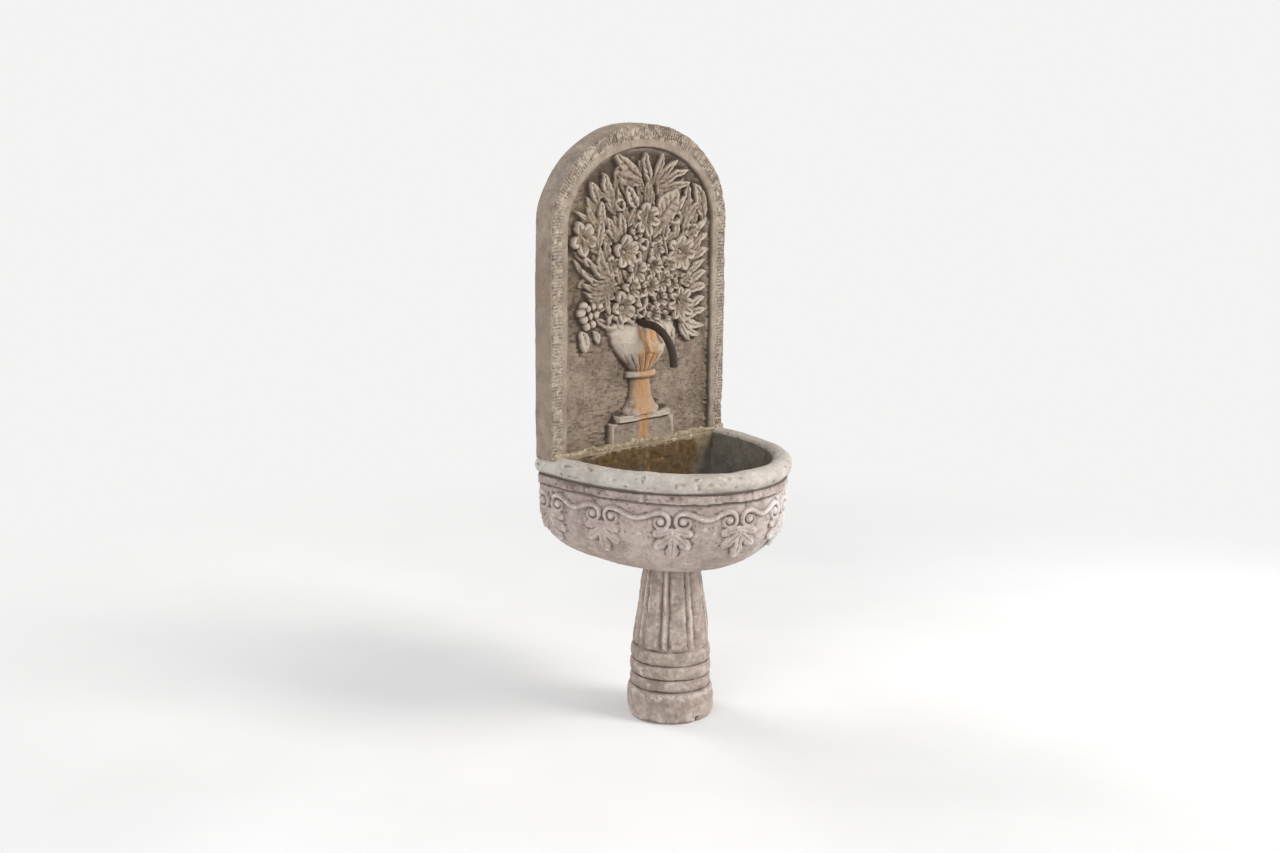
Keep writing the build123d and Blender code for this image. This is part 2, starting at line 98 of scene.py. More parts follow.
def noise(points, size, seed):
    """Random values from -1 to 1 on a box lattice of that size, blended smoothly between its corners."""
    place = np.asarray(points, float) / np.asarray(size, float)
    cell = np.floor(place).astype(np.int64)
    part = place - cell
    part = part**3 * (part * (part * 6 - 15) + 10)
    table = np.random.default_rng(seed).uniform(-1, 1, TABLE_LENGTH)
    total = np.zeros(place.shape[:-1])
    for corner in np.ndindex(2, 2, 2):
        near = cell + np.array(corner)
        key = near[..., 0] * MIXERS[0] ^ near[..., 1] * MIXERS[1] ^ near[..., 2] * MIXERS[2]
        weight = np.prod(np.where(corner, part, 1 - part), axis=-1)
        total += table[key & (TABLE_LENGTH - 1)] * weight
    return total


def rubble(points, layers, seed):
    """Noise of several sizes added up; each layer is a size and a height."""
    return sum(height * noise(points, size, seed + 17 * i) for i, (size, height) in enumerate(layers))


def soften(values, reach):
    """The mean over a square of cells that reaches so many cells each way, edges repeated."""
    reach = max(1, int(reach))
    for axis in (0, 1):
        pad = [(reach + 1, reach) if a == axis else (0, 0) for a in (0, 1)]
        run = np.cumsum(np.pad(values, pad, mode="edge"), axis=axis)
        ahead = np.take(run, np.arange(2 * reach + 1, run.shape[axis]), axis=axis)
        behind = np.take(run, np.arange(0, run.shape[axis] - 2 * reach - 1), axis=axis)
        values = (ahead - behind) / (2 * reach + 1)
    return values


def grid_normals(points, wrap=False):
    """Unit normals of a grid of points: the cross product of its slopes along columns and along rows."""
    if wrap:
        wide = np.concatenate([points[:, -1:], points, points[:, :1]], axis=1)
        across = np.gradient(wide, axis=1)[:, 1:-1]
    else:
        across = np.gradient(points, axis=1)
    normals = np.cross(across, np.gradient(points, axis=0))
    return normals / np.maximum(np.linalg.norm(normals, axis=-1, keepdims=True), 1e-9)


def turned_out(normals, points, middle, spot):
    """The normals, all turned round if the one at that spot of the grid looks towards the middle."""
    return normals * np.sign((normals[spot] * (points[spot] - np.array(middle))).sum())


def hollows(depth, cell, wide, deep):
    """How far each point lies below the mean of what is round it, from 0 to 1: cell and wide in mm, deep
    for a full 1."""
    return np.clip((soften(depth, wide / cell) - depth) / deep, 0, 1)


def dirt_and_shade_of_hollows(depth, cell, broad, fine):
    """The deeper of two hollows, a broad and a fine one, each given as its width and depth; it marks grime
    and painted shade.
    """
    return np.maximum(hollows(depth, cell, *broad), hollows(depth, cell, *fine))


def closed_ends(points):
    """The grid with a column added at each end, drawn together in the middle of that end."""
    ends = [np.repeat(points[:, k].mean(axis=0)[None], len(points), axis=0)[:, None] for k in (0, -1)]
    return np.concatenate([ends[0], points, ends[1]], axis=1)


def made(name, grid, finish, replaced, inside, body="fountain", towards=False):
    """One mesh piece from a grid of points in mm, which may have wrap, marks and normals.

    Quads join neighbouring points, and faces look away from the inside point, or to it. In a grid without
    normals of its own, doubles are merged."""
    rows, columns = grid["points"].shape[:2]
    points = grid["points"].reshape(-1, 3) * MM
    index = np.arange(rows * columns).reshape(rows, columns)
    if grid.get("wrap"):
        index = np.concatenate([index, index[:, :1]], axis=1)
    corners = (index[:-1, :-1], index[:-1, 1:], index[1:, 1:], index[1:, :-1])
    quads = np.stack(corners, -1).reshape(-1, 4)
    mesh = bpy.data.meshes.new(name)
    mesh.vertices.add(len(points))
    mesh.vertices.foreach_set("co", points.ravel())
    mesh.loops.add(quads.size)
    mesh.loops.foreach_set("vertex_index", quads.ravel())
    mesh.polygons.add(len(quads))
    mesh.polygons.foreach_set("loop_start", np.arange(0, quads.size, 4))
    mesh.update(calc_edges=True)
    for mark in MARKS:
        value = np.broadcast_to(grid.get("marks", {}).get(mark, 0.0), (rows, columns))
        layer = mesh.attributes.new(mark, "FLOAT", "POINT")
        layer.data.foreach_set("value", value.ravel().astype(np.float32))
    if "normals" not in grid:
        work = bmesh.new()
        work.from_mesh(mesh)
        bmesh.ops.remove_doubles(work, verts=work.verts, dist=2e-6)
        bmesh.ops.dissolve_degenerate(work, edges=work.edges, dist=1e-7)
        work.to_mesh(mesh)
        work.free()
    count = len(mesh.polygons)
    facing, middle = np.empty(count * 3), np.empty(count * 3)
    mesh.polygons.foreach_get("normal", facing)
    mesh.polygons.foreach_get("center", middle)
    heart = np.array(inside) * MM
    away = (facing.reshape(-1, 3) * (middle.reshape(-1, 3) - heart)).sum()
    if (away < 0) != towards:
        mesh.flip_normals()
    mesh.polygons.foreach_set("use_smooth", np.ones(count, bool))
    if "normals" in grid:
        side = grid["normals"].reshape(-1, 3)
        look = (side * (points - heart)).sum()
        side = -side if (look < 0) != towards else side
        mesh.normals_split_custom_set_from_vertices(side.tolist())
    mesh.materials.append(finish)
    piece = bpy.data.objects.new(name, mesh)
    bpy.context.scene.collection.objects.link(piece)
    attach(piece, body)
    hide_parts(*replaced)


def math_node(kind, swapped=False):
    """A method that joins a wire and another value by a Math node of that kind, swapped if the wire comes
    second."""

    def join(self, other):
        first, second = (other, self) if swapped else (self, other)
        return self.finish.node("ShaderNodeMath", {"operation": kind}, {0: first, 1: second})

    return join


class Wire:
    """A socket of a finish's node tree; arithmetic on it adds Math nodes."""

    __add__, __radd__ = math_node("ADD"), math_node("ADD", True)
    __sub__, __rsub__ = math_node("SUBTRACT"), math_node("SUBTRACT", True)
    __mul__, __rmul__ = math_node("MULTIPLY"), math_node("MULTIPLY", True)

    def __init__(self, finish, socket):
        self.finish, self.socket = finish, socket


class Finish:
    """A material built from nodes, on the piece's own Object coordinates."""

    def __init__(self, name, material=None):
        self.material = material or bpy.data.materials.new(name)
        self.material.use_nodes = True
        self.tree = self.material.node_tree
        self.tree.nodes.clear()
        self.place = self.node("ShaderNodeTexCoord", output="Object")

    def node(self, kind, settings=None, inputs=None, output=0):
        """Adds a node: its settings, then the values or links of its sockets; gives one of its outputs."""
        made_node = self.tree.nodes.new(kind)
        for key, value in (settings or {}).items():
            setattr(made_node, key, value)
        for key, value in (inputs or {}).items():
            if isinstance(value, Wire):
                self.tree.links.new(value.socket, made_node.inputs[key])
            else:
                made_node.inputs[key].default_value = value
        return Wire(self, made_node.outputs[output]) if made_node.outputs else None

    def cloud(self, scale, detail, rough, place=None):
        """Noise of so many waves to the metre."""
        inputs = {"Vector": place or self.place, "Scale": scale, "Detail": detail, "Roughness": rough}
        return self.node("ShaderNodeTexNoise", None, inputs)

    def stretched(self, scale):
        """The piece's coordinates, scaled along each axis."""
        return self.node("ShaderNodeMapping", None, {"Vector": self.place, "Scale": scale})

    def step(self, value, low, high):
        """Runs from 0 at low to 1 at high, smoothly."""
        settings = {"interpolation_type": "SMOOTHSTEP"}
        return self.node("ShaderNodeMapRange", settings, {"Value": value, "From Min": low, "From Max": high})

    def mark(self, name):
        """A value that is kept on the mesh's points."""
        return self.node("ShaderNodeAttribute", {"attribute_name": name}, output="Fac")

    def mix(self, share, one, other, blend="MIX"):
        """One colour turned into the other by a share."""
        one, other = [v if isinstance(v, Wire) else (*v, 1) for v in (one, other)]
        settings = {"data_type": "RGBA", "blend_type": blend}
        return self.node("ShaderNodeMix", settings, {0: share, 6: one, 7: other}, output=2)

    def bump(self, height, strength, depth, under=None):
        """A normal tilted by a height, in metres of depth."""
        inputs = {"Height": height, "Strength": strength, "Distance": depth}
        if under:
            inputs["Normal"] = under
        return self.node("ShaderNodeBump", None, inputs)

    def eyed(self):
        """1 for rays that reach the eye straight, by a mirror or through glass, else 0."""
        kinds = ("Is Camera Ray", "Is Glossy Ray", "Is Transmission Ray")
        camera, glossy, through = [self.node("ShaderNodeLightPath", output=kind) for kind in kinds]
        return self._most(self._most(camera, glossy), through)

    def _most(self, one, other):
        """The larger of two values."""
        return self.node("ShaderNodeMath", {"operation": "MAXIMUM"}, {0: one, 1: other})

    def done(self, inputs):
        """Puts the values and links on one surface shader."""
        shader = self.node("ShaderNodeBsdfPrincipled", None, inputs)
        self.node("ShaderNodeOutputMaterial", None, {"Surface": shader})
        return self.material


# Colours that the stones share
RUST, MOSS = (0.45, 0.228, 0.092), (0.17, 0.13, 0.06)
WET_RUST, WET_MOSS = (0.37, 0.170, 0.046), (0.128, 0.071, 0.021)
EARTH, OCHRE, DARK_RUST = (0.34, 0.25, 0.175), (0.49, 0.315, 0.178), (0.22, 0.105, 0.045)
DARK_GRAIN, PALE_GRAIN = (0.30, 0.28, 0.26), (0.78, 0.76, 0.73)


def stone(name, light, deep, dirt_and_shade_tone, pale, lichen, rust=RUST, moss=MOSS, streak=1.0):
    """Weathered carved stone: two tones in clouds, mottles and pores, and patches of lichen. The marks
    bring grime and painted shade into hollows, pale wear and painted highlights onto crests, runs of rust
    on stains and slime on damp spots."""
    f = Finish(name)
    dirt_and_shade, pale_and_highlight, stain, damp = [f.mark(mark) for mark in MARKS]
    clouds = f.cloud(5, 5, 0.6) * 0.5 + f.cloud(20, 4, 0.6) * 0.5
    mottle = f.cloud(64, 5, 0.62, f.stretched((1.0, 1.0, streak))) - 0.5
    speck = f.cloud(190, 6, 0.72)
    fleck = speck - 0.5
    grit = f.cloud(620, 3, 0.6)
    colour = f.mix(f.step(clouds + mottle * 0.5, 0.32, 0.68), deep, light)
    colour = f.mix(f.step(f.cloud(8, 3, 0.5), 0.50, 0.72) * 0.35, colour, EARTH)
    patches = f.step(f.cloud(30, 7, 0.70) + pale_and_highlight * 0.12, 0.57, 0.70)
    colour = f.mix(patches * lichen, colour, pale)
    smoke = f.step(f.cloud(13, 7, 0.72) + mottle * 0.3, 0.55, 0.74)
    colour = f.mix(smoke * 0.5, colour, dirt_and_shade_tone)
    # Pale wear with a painted highlight on crests
    worn = f.step(pale_and_highlight + fleck * 0.5 + mottle * 0.5, 0.10, 0.95)
    colour = f.mix(worn * 0.72, colour, pale)
    # Grime and painted shade in hollows
    soot_and_shade = f.step(dirt_and_shade + fleck * 0.55 + mottle * 0.4, 0.10, 0.85)
    colour = f.mix(soot_and_shade * 0.88, colour, dirt_and_shade_tone)
    dark_moss, pale_moss = [[share * c for c in moss] for share in (0.45, 1.25)]
    slime = f.mix(f.step(f.cloud(48, 7, 0.7), 0.40, 0.62), dark_moss, pale_moss)
    wet = f.step(damp + mottle * 0.6 + fleck * 0.4, 0.2, 0.9)
    colour = f.mix(wet * 0.88, colour, slime)
    runs = f.cloud(60, 4, 0.6, f.stretched((1.0, 1.0, 0.16)))
    tint = f.mix(f.step(runs, 0.35, 0.65), rust, OCHRE)
    tint = f.mix(soot_and_shade * 0.6, tint, DARK_RUST)
    stained = f.step(stain + (runs - 0.5) * 0.5 + mottle * 0.5, 0.15, 0.85)
    colour = f.mix(stained * 0.88, colour, tint)
    pores = f.step(speck, 0.30, 0.42)
    colour = f.mix((1 - pores) * 0.35, colour, dirt_and_shade_tone)
    colour = f.mix(0.30, colour, f.mix(f.step(grit, 0.3, 0.7), DARK_GRAIN, PALE_GRAIN), "OVERLAY")
    low = f.bump(f.cloud(95, 5, 0.65), 0.6, 0.005)
    normal = f.bump(speck * 0.7 + pores * 0.3 + grit * 0.25, 0.75, 0.0025, low)
    rough = 0.92 - 0.10 * f.step(clouds, 0.4, 0.7) - 0.10 * damp
    return f.done({"Base Color": colour, "Roughness": rough, "Normal": normal, "Specular IOR Level": 0.25})


def metal(name, base, worn, grime, roughness, metallic=1.0, scale=60.0, depth=0.0004):
    """Old metal: base and worn tones in clouds, grime in blotches, and a fine hammered skin."""
    f = Finish(name)
    clouds, fine = f.cloud(scale, 5, 0.6), f.cloud(scale * 7, 4, 0.65)
    colour = f.mix(f.step(clouds, 0.4, 0.68), base, worn)
    blot = f.step(f.cloud(scale * 0.45, 6, 0.65) + (fine - 0.5) * 0.4, 0.46, 0.64)
    colour = f.mix(blot * 0.8, colour, grime)
    skin = f.bump(clouds * 0.6 + fine * 0.4, 0.6, depth)
    rough = roughness + 0.25 * blot + 0.1 * (fine - 0.5)
    shine = metallic * (1 - 0.75 * blot)
    return f.done({"Base Color": colour, "Roughness": rough, "Metallic": shine, "Normal": skin})


def mortar(name, light, deep):
    """Lime mortar: brown and buff lumps with pale chips, dark holes and sand grains."""
    f = Finish(name)
    lumps, sand = f.cloud(70, 5, 0.62), f.cloud(420, 5, 0.7)
    colour = f.mix(f.step(lumps, 0.38, 0.62), deep, light)
    colour = f.mix((1 - f.step(sand, 0.34, 0.5)) * 0.6, colour, (0.10, 0.07, 0.04))
    colour = f.mix(f.step(f.cloud(95, 5, 0.6), 0.56, 0.66) * 0.8, colour, (0.62, 0.55, 0.43))
    normal = f.bump(lumps * 0.5 + sand * 0.5, 0.8, 0.0035)
    return f.done({"Base Color": colour, "Roughness": 0.9 - 0.15 * lumps, "Normal": normal})


def rubber(name):
    """Dull black rubber with a dusty bloom and a fine grain."""
    f = Finish(name)
    dust, grain = f.cloud(40, 4, 0.6), f.cloud(900, 3, 0.6)
    colour = f.mix(f.step(dust, 0.45, 0.7), (0.018, 0.017, 0.016), (0.07, 0.066, 0.06))
    skin = f.bump(grain, 0.4, 0.0003)
    return f.done({"Base Color": colour, "Roughness": 0.62 + 0.2 * dust, "Normal": skin})


# Stones: light and deep tone, the tone of grime and painted shade, pale wear and the share of lichen
panel_finish = stone(
    "panel_stone", (0.36, 0.297, 0.238), (0.24, 0.191, 0.150), (0.085, 0.063, 0.045),
    (0.52, 0.45, 0.378), 0.3)
field_finish = stone(
    "field_stone", (0.32, 0.254, 0.198), (0.172, 0.128, 0.096), (0.068, 0.048, 0.033),
    (0.56, 0.486, 0.408), 0.15, moss=(0.31, 0.240, 0.140), streak=2.2)
basin_finish = stone(
    "basin_stone", (0.535, 0.448, 0.405), (0.36, 0.290, 0.257), (0.13, 0.099, 0.083),
    (0.80, 0.76, 0.735), 0.45)
lip_finish = stone(
    "lip_stone", (0.62, 0.575, 0.52), (0.46, 0.42, 0.37), (0.15, 0.122, 0.098),
    (0.84, 0.80, 0.75), 0.55, moss=(0.27, 0.26, 0.20))
hollow_finish = stone(
    "hollow_stone", (0.315, 0.300, 0.256), (0.190, 0.178, 0.150), (0.066, 0.055, 0.041),
    (0.43, 0.395, 0.325), 0.35, WET_RUST, WET_MOSS)
pedestal_finish = stone(
    "pedestal_stone", (0.50, 0.415, 0.367), (0.285, 0.225, 0.192), (0.092, 0.068, 0.055),
    (0.72, 0.665, 0.62), 0.45)
ledge_finish = stone(
    "ledge_stone", (0.36, 0.285, 0.19), (0.20, 0.152, 0.096), (0.065, 0.047, 0.030),
    (0.58, 0.51, 0.41), 0.6, WET_RUST, WET_MOSS)
bed_finish = mortar("bed_mortar", (0.43, 0.345, 0.24), (0.25, 0.19, 0.122))
# Metals: base, worn and grimy tone, and roughness
iron_finish = metal(
    "spout_iron", (0.023, 0.0135, 0.009), (0.042, 0.025, 0.017), (0.058, 0.030, 0.016), 0.78,
    metallic=0.1, scale=70, depth=0.0012)
brass_finish = metal("waste_brass", (0.42, 0.29, 0.11), (0.55, 0.41, 0.19), (0.10, 0.085, 0.045), 0.38)
steel_finish = metal("fixing_steel", (0.36, 0.35, 0.33), (0.48, 0.47, 0.45), (0.16, 0.085, 0.045), 0.42)
rubber_finish = rubber("seal_rubber")


# Back panel

def beside(x, z, root, tip):
    """Where a point lies beside the line from root to tip: the line's length, the share of the way along
    it, and the distance off it to the left."""
    run, rise = tip[0] - root[0], tip[1] - root[1]
    length = math.hypot(run, rise)
    share = ((x - root[0]) * run + (z - root[1]) * rise) / length**2
    aside = ((z - root[1]) * run - (x - root[0]) * rise) / length
    return length, share, aside


def leaf(x, z, root, tip, wide, high, bend=0.0, veins=5.0):
    """A carved leaf. s runs from 0 at the root to 1 at the tip, t across it in half widths. The outline is
    s to one power times 1 - s to another; each half is a pad beside a sunk midrib, with slanting veins."""
    length, s, d = beside(x, z, root, tip)
    inner = np.clip(s, 0, 1)
    d = d - bend * length * 4 * inner * (1 - inner)
    broadest = 0.42
    a, b = 1.3 * broadest, 1.3 * (1 - broadest)
    half = 0.5 * wide * inner**a * (1 - inner)**b / (broadest**a * (1 - broadest)**b)
    t = np.abs(d) / np.maximum(half, 1e-3)
    edge = ease(half - np.abs(d), 0.0, 4.0) * ((s > 0) & (s < 1))
    rib = bell(d, 1.4 + 0.03 * wide) * (1 - 0.7 * inner)
    vein = (0.5 + 0.5 * np.cos(2 * np.pi * (veins * inner - 0.9 * t)))**4 * np.clip(2 - 2 * t, 0, 1)
    body = 0.70 + 0.30 * dome(1.5 * t - 0.7) - 0.27 * rib - 0.13 * vein
    return np.where(edge > 0, high * edge * body * (0.70 + 0.30 * inner), ABSENT)


def flower(x, z, centre, radius, petals, high, turn, lean):
    """A flower from the front: petals that rise outwards and to their sides stand about a deep heart with a
    small bead. In a petal's own axes q is 0 at its middle and 1 at its edge; the whole leans a little to
    one side."""
    dx, dz = x - centre[0], z - centre[1]
    r = np.hypot(dx, dz)
    phase = (np.arctan2(dx, dz) + turn) * petals / (2 * np.pi)
    bearing = (phase - np.round(phase)) * 2 * np.pi / petals
    along, aside = r * np.cos(bearing) - 0.62 * radius, r * np.sin(bearing)
    broad = 0.97 * 0.70 * radius * math.sin(math.pi / petals)
    q = np.hypot(along / (0.40 * radius), aside / broad)
    edge = ease((1 - q) * min(broad, 0.4 * radius), 0.0, 3.4)
    vein = bell(aside, 2.4) * ease(0.30 * radius - along, 0, 9)
    opened = 0.30 * ease(along, -0.40 * radius, 0.28 * radius)
    opened = opened + 0.20 * np.clip(np.abs(aside) / broad, 0, 1)**2
    petal = edge * (0.56 + opened - 0.13 * vein)
    petal = petal * (0.52 + 0.48 * ease(r, 0.20 * radius, 0.62 * radius))
    disc = 0.28 * ease(0.66 * radius - r, 0, 4) - 0.16 * ease(0.26 * radius - r, 0, 4)
    bead = 0.48 * dome(r / (0.13 * radius + 1.5))
    body = np.maximum.reduce([petal, disc, bead])
    tilt = 1 + 0.16 * (dx * math.cos(lean) + dz * math.sin(lean)) / radius
    return np.where((edge > 0) | (r < 0.66 * radius), high * body * tilt, ABSENT)


def curl(x, z, centre, radius, high, turn):
    """A rolled bud from the front: one fat ring stands about a deep eye, and three folds wind round it. q
    is the distance from the middle in radii."""
    dx, dz = x - centre[0], z - centre[1]
    q = np.hypot(dx, dz) / radius
    fold = np.cos(3 * (np.arctan2(dx, dz) + turn) - 5.0 * q)
    ring = bell(q - 0.62 - 0.08 * fold, 0.27)
    edge = ease((1 - q) * radius, 0.0, 4.0)
    body = 0.36 + 0.58 * ring - 0.30 * bell(q, 0.20) - 0.20 * ease(fold, 0.5, 0.95) * ease(q, 0.25, 0.5)
    return np.where(edge > 0, high * edge * body, ABSENT)


def berries(x, z, centres, radius, high):
    """A bunch of half balls."""
    top = np.full(x.shape, ABSENT)
    for cx, cz in centres:
        r2 = ((x - cx)**2 + (z - cz)**2) / radius**2
        ball = high * (0.35 + 0.65 * np.sqrt(np.clip(1 - r2, 0, 1)))
        top = np.maximum(top, np.where(r2 < 1, ball, ABSENT))
    return top


def stem(x, z, points, wide, high):
    """A round stalk: the height falls as half a circle with the distance from a broken line."""
    near = np.full(x.shape, 1e9)
    for (ax, az), (bx, bz) in zip(points[:-1], points[1:]):
        run, rise = bx - ax, bz - az
        s = np.clip(((x - ax) * run + (z - az) * rise) / (run * run + rise * rise), 0, 1)
        near = np.minimum(near, np.hypot(x - ax - s * run, z - az - s * rise))
    return np.where(near < wide, high * (0.4 + 0.6 * dome(near / wide)), ABSENT)


# Leaves of the bouquet: root, tip, width, height and bend
LEAVES = [
    ((5, 1790), (-132, 1874), 54, 17, 0.05), ((0, 1772), (-116, 1812), 46, 14, 0.04),
    ((42, 1778), (20, 1874), 42, 17, 0.05), ((68, 1782), (104, 1868), 36, 15, -0.06),
    ((76, 1758), (174, 1844), 36, 16, 0.06), ((80, 1752), (232, 1806), 36, 15, 0.05),
    ((84, 1746), (240, 1764), 34, 14, -0.02), ((80, 1738), (184, 1742), 30, 13, -0.06),
    ((-15, 1686), (-64, 1770), 50, 18, 0.05), ((22, 1700), (34, 1786), 28, 12, 0.0),
    ((78, 1652), (172, 1742), 92, 19, -0.05), ((-116, 1732), (-178, 1812), 42, 15, 0.06),
    ((-128, 1690), (-138, 1772), 40, 13, 0.05), ((-188, 1708), (-230, 1788), 38, 14, -0.04),
    ((-202, 1648), (-238, 1708), 32, 13, 0.05), ((-158, 1636), (-176, 1718), 36, 14, 0.06),
    ((-194, 1564), (-182, 1664), 40, 15, -0.05), ((-108, 1596), (-152, 1668), 40, 15, 0.04),
    ((-84, 1598), (-98, 1682), 38, 16, -0.04), ((60, 1590), (224, 1718), 48, 15, 0.05),
    ((302, 1636), (250, 1764), 56, 16, -0.12), ((248, 1566), (328, 1650), 36, 14, 0.06),
    ((246, 1532), (332, 1598), 34, 14, 0.05), ((244, 1500), (334, 1544), 34, 13, 0.04),
    ((210, 1612), (292, 1704), 38, 14, 0.05), ((222, 1640), (236, 1730), 32, 13, -0.04),
    ((-118, 1452), (-188, 1576), 48, 16, 0.14), ((-152, 1454), (-138, 1342), 36, 15, -0.10),
    ((-112, 1478), (-232, 1536), 32, 17, 0.16), ((-122, 1458), (-262, 1498), 32, 16, 0.15),
    ((-132, 1438), (-266, 1466), 30, 15, 0.14), ((-140, 1420), (-258, 1434), 30, 15, 0.12),
    ((-146, 1402), (-238, 1402), 28, 14, 0.10), ((202, 1312), (320, 1376), 36, 16, 0.08),
    ((204, 1308), (330, 1324), 36, 15, 0.05), ((202, 1304), (324, 1276), 34, 15, -0.04),
    ((198, 1300), (300, 1240), 34, 14, -0.07), ((194, 1298), (242, 1230), 32, 14, -0.05),
    ((126, 1300), (164, 1222), 42, 16, 0.06), ((-264, 1306), (-256, 1230), 44, 15, 0.08),
    ((-206, 1304), (-186, 1256), 30, 13, 0.05), ((238, 1420), (326, 1462), 36, 14, 0.06),
    ((236, 1400), (330, 1414), 34, 14, 0.04), ((228, 1448), (316, 1506), 34, 14, 0.05),
    ((-60, 1630), (-30, 1700), 32, 14, -0.05), ((118, 1576), (128, 1640), 34, 15, 0.0),
    ((100, 1300), (96, 1236), 30, 12, 0.04), ((30, 1340), (60, 1286), 30, 14, 0.05),
]
# Flowers: centre, radius, petals, height, turn and the side it leans to
FLOWERS = [
    ((27, 1652), 56, 6, 27, 0.2, 1.0), ((-258, 1605), 58, 5, 24, 0.6, 2.4),
    ((-70, 1552), 58, 5, 28, 0.1, 2.0), ((193, 1532), 64, 7, 27, 0.0, 0.2),
    ((-76, 1371), 56, 5, 28, 0.4, 3.6), ((196, 1357), 64, 8, 27, 0.1, 5.4),
    ((62, 1496), 40, 5, 25, 0.3, 0.6), ((-14, 1486), 42, 5, 26, 0.0, 2.2),
    ((44, 1430), 42, 6, 27, 0.2, 5.0), ((108, 1444), 38, 5, 25, 0.6, 0.0),
    ((-40, 1430), 38, 5, 25, 0.2, 3.1), ((94, 1386), 36, 5, 25, 0.1, 5.6),
    ((130, 1494), 38, 5, 24, 0.4, 0.4), ((78, 1550), 34, 5, 24, 0.8, 1.2),
    ((-132, 1512), 34, 5, 22, 0.3, 2.8), ((244, 1600), 34, 5, 21, 0.5, 0.3),
    ((-18, 1614), 28, 5, 22, 0.2, 1.8), ((112, 1602), 30, 5, 21, 0.0, 1.0),
    ((156, 1432), 32, 5, 22, 0.4, 0.0), ((-150, 1600), 28, 5, 19, 0.1, 2.6),
    ((226, 1440), 30, 5, 21, 0.7, 0.2), ((-16, 1316), 30, 5, 30, 0.5, 4.0),
    ((62, 1334), 34, 5, 29, 0.2, 5.2), ((112, 1316), 30, 5, 28, 0.9, 5.6),
]
# Rolled buds: centre, radius, height and turn
CURLS = [
    ((14, 1570), 30, 26, 0.4), ((167, 1652), 33, 24, 1.2), ((-96, 1708), 30, 23, 2.4),
    ((-130, 1322), 33, 26, 0.9), ((-67, 1304), 42, 28, 3.4), ((6, 1386), 32, 27, 1.9),
    ((4, 1346), 28, 26, 4.4), ((-20, 1530), 26, 25, 2.0), ((-176, 1520), 24, 18, 5.0),
]
# Berries: their middles
BERRIES = [
    (-266, 1364), (-242, 1374), (-216, 1380), (-254, 1340), (-228, 1350), (-202, 1354), (-240, 1318),
    (-214, 1326), (-190, 1378), (-258, 1384),
]
# Stalks: the points of their lines
STALKS = [
    [(27, 1600), (33, 1700), (40, 1790)], [(-228, 1380), (-170, 1430), (-110, 1450)],
    [(60, 1700), (130, 1560), (150, 1400)], [(-258, 1560), (-200, 1500), (-120, 1450)],
]
SMALL_LEAVES, GOLDEN_ANGLE = 190, 2.39996


def leaf_bed(x, z):
    """A bed of small leaves on a golden-angle spiral inside an oval. Each points away from the urn's mouth,
    and sines of its number vary its aim, length, width, height and bend."""
    top = np.full(x.shape, ABSENT)
    for i in range(SMALL_LEAVES):
        angle, out = i * GOLDEN_ANGLE, 21.5 * math.sqrt(i + 0.5)
        cx, cz = 14 + 1.02 * out * math.cos(angle), 1545 + 1.0 * out * math.sin(angle)
        inside = (cx / 296)**2 + ((cz - 1550) / 276)**2 < 1 and abs(cx) + 0.9 * max(0, cz - 1640) < 330
        if inside and (cz > 1290 or abs(cx) > 160):
            aim = math.atan2(cz - 1360, cx) + 0.5 * math.sin(7.0 * i)
            half = 36 + 9 * math.sin(3.0 * i)
            step_x, step_z = half * math.cos(aim), half * math.sin(aim)
            wide, high = 29 + 5 * math.sin(5.0 * i), 13.0 + 4.0 * math.sin(11.0 * i)
            root, tip = (cx - step_x, cz - step_z), (cx + step_x, cz + step_z)
            top = np.maximum(top, leaf(x, z, root, tip, wide, high, 0.10 * math.sin(2.0 * i), 4.0))
    return top


def bouquet(x, z):
    """The whole carving above the urn: the highest of its leaves, stalks, berries, buds and flowers, over a
    bed of small leaves."""
    top = leaf_bed(x, z)
    for root, tip, wide, high, bend in LEAVES:
        top = np.maximum(top, leaf(x, z, root, tip, wide, 1.35 * high, bend))
    for line in STALKS:
        top = np.maximum(top, stem(x, z, line, 6.0, 14.0))
    top = np.maximum(top, berries(x, z, BERRIES, 14.5, 22.0))
    for bud in CURLS:
        top = np.maximum(top, curl(x, z, *bud))
    for bloom in FLOWERS:
        top = np.maximum(top, flower(x, z, *bloom))
    return top


# The urn: height, half width and relief at each station, and the leaves hung on its front
URN = np.array([
    (1006, 92, 37), (1022, 84, 36), (1036, 70, 34), (1060, 54, 32), (1090, 47, 30), (1128, 45, 29),
    (1150, 50, 34), (1166, 58, 39), (1190, 86, 45), (1220, 114, 49), (1252, 138, 49), (1284, 156, 40),
    (1312, 166, 14)])
HUNG = [
    ((4, 1320), (-2, 1214), 64, 15.0), ((56, 1310), (68, 1238), 42, 10.0),
    ((100, 1302), (112, 1246), 36, 8.0),
]


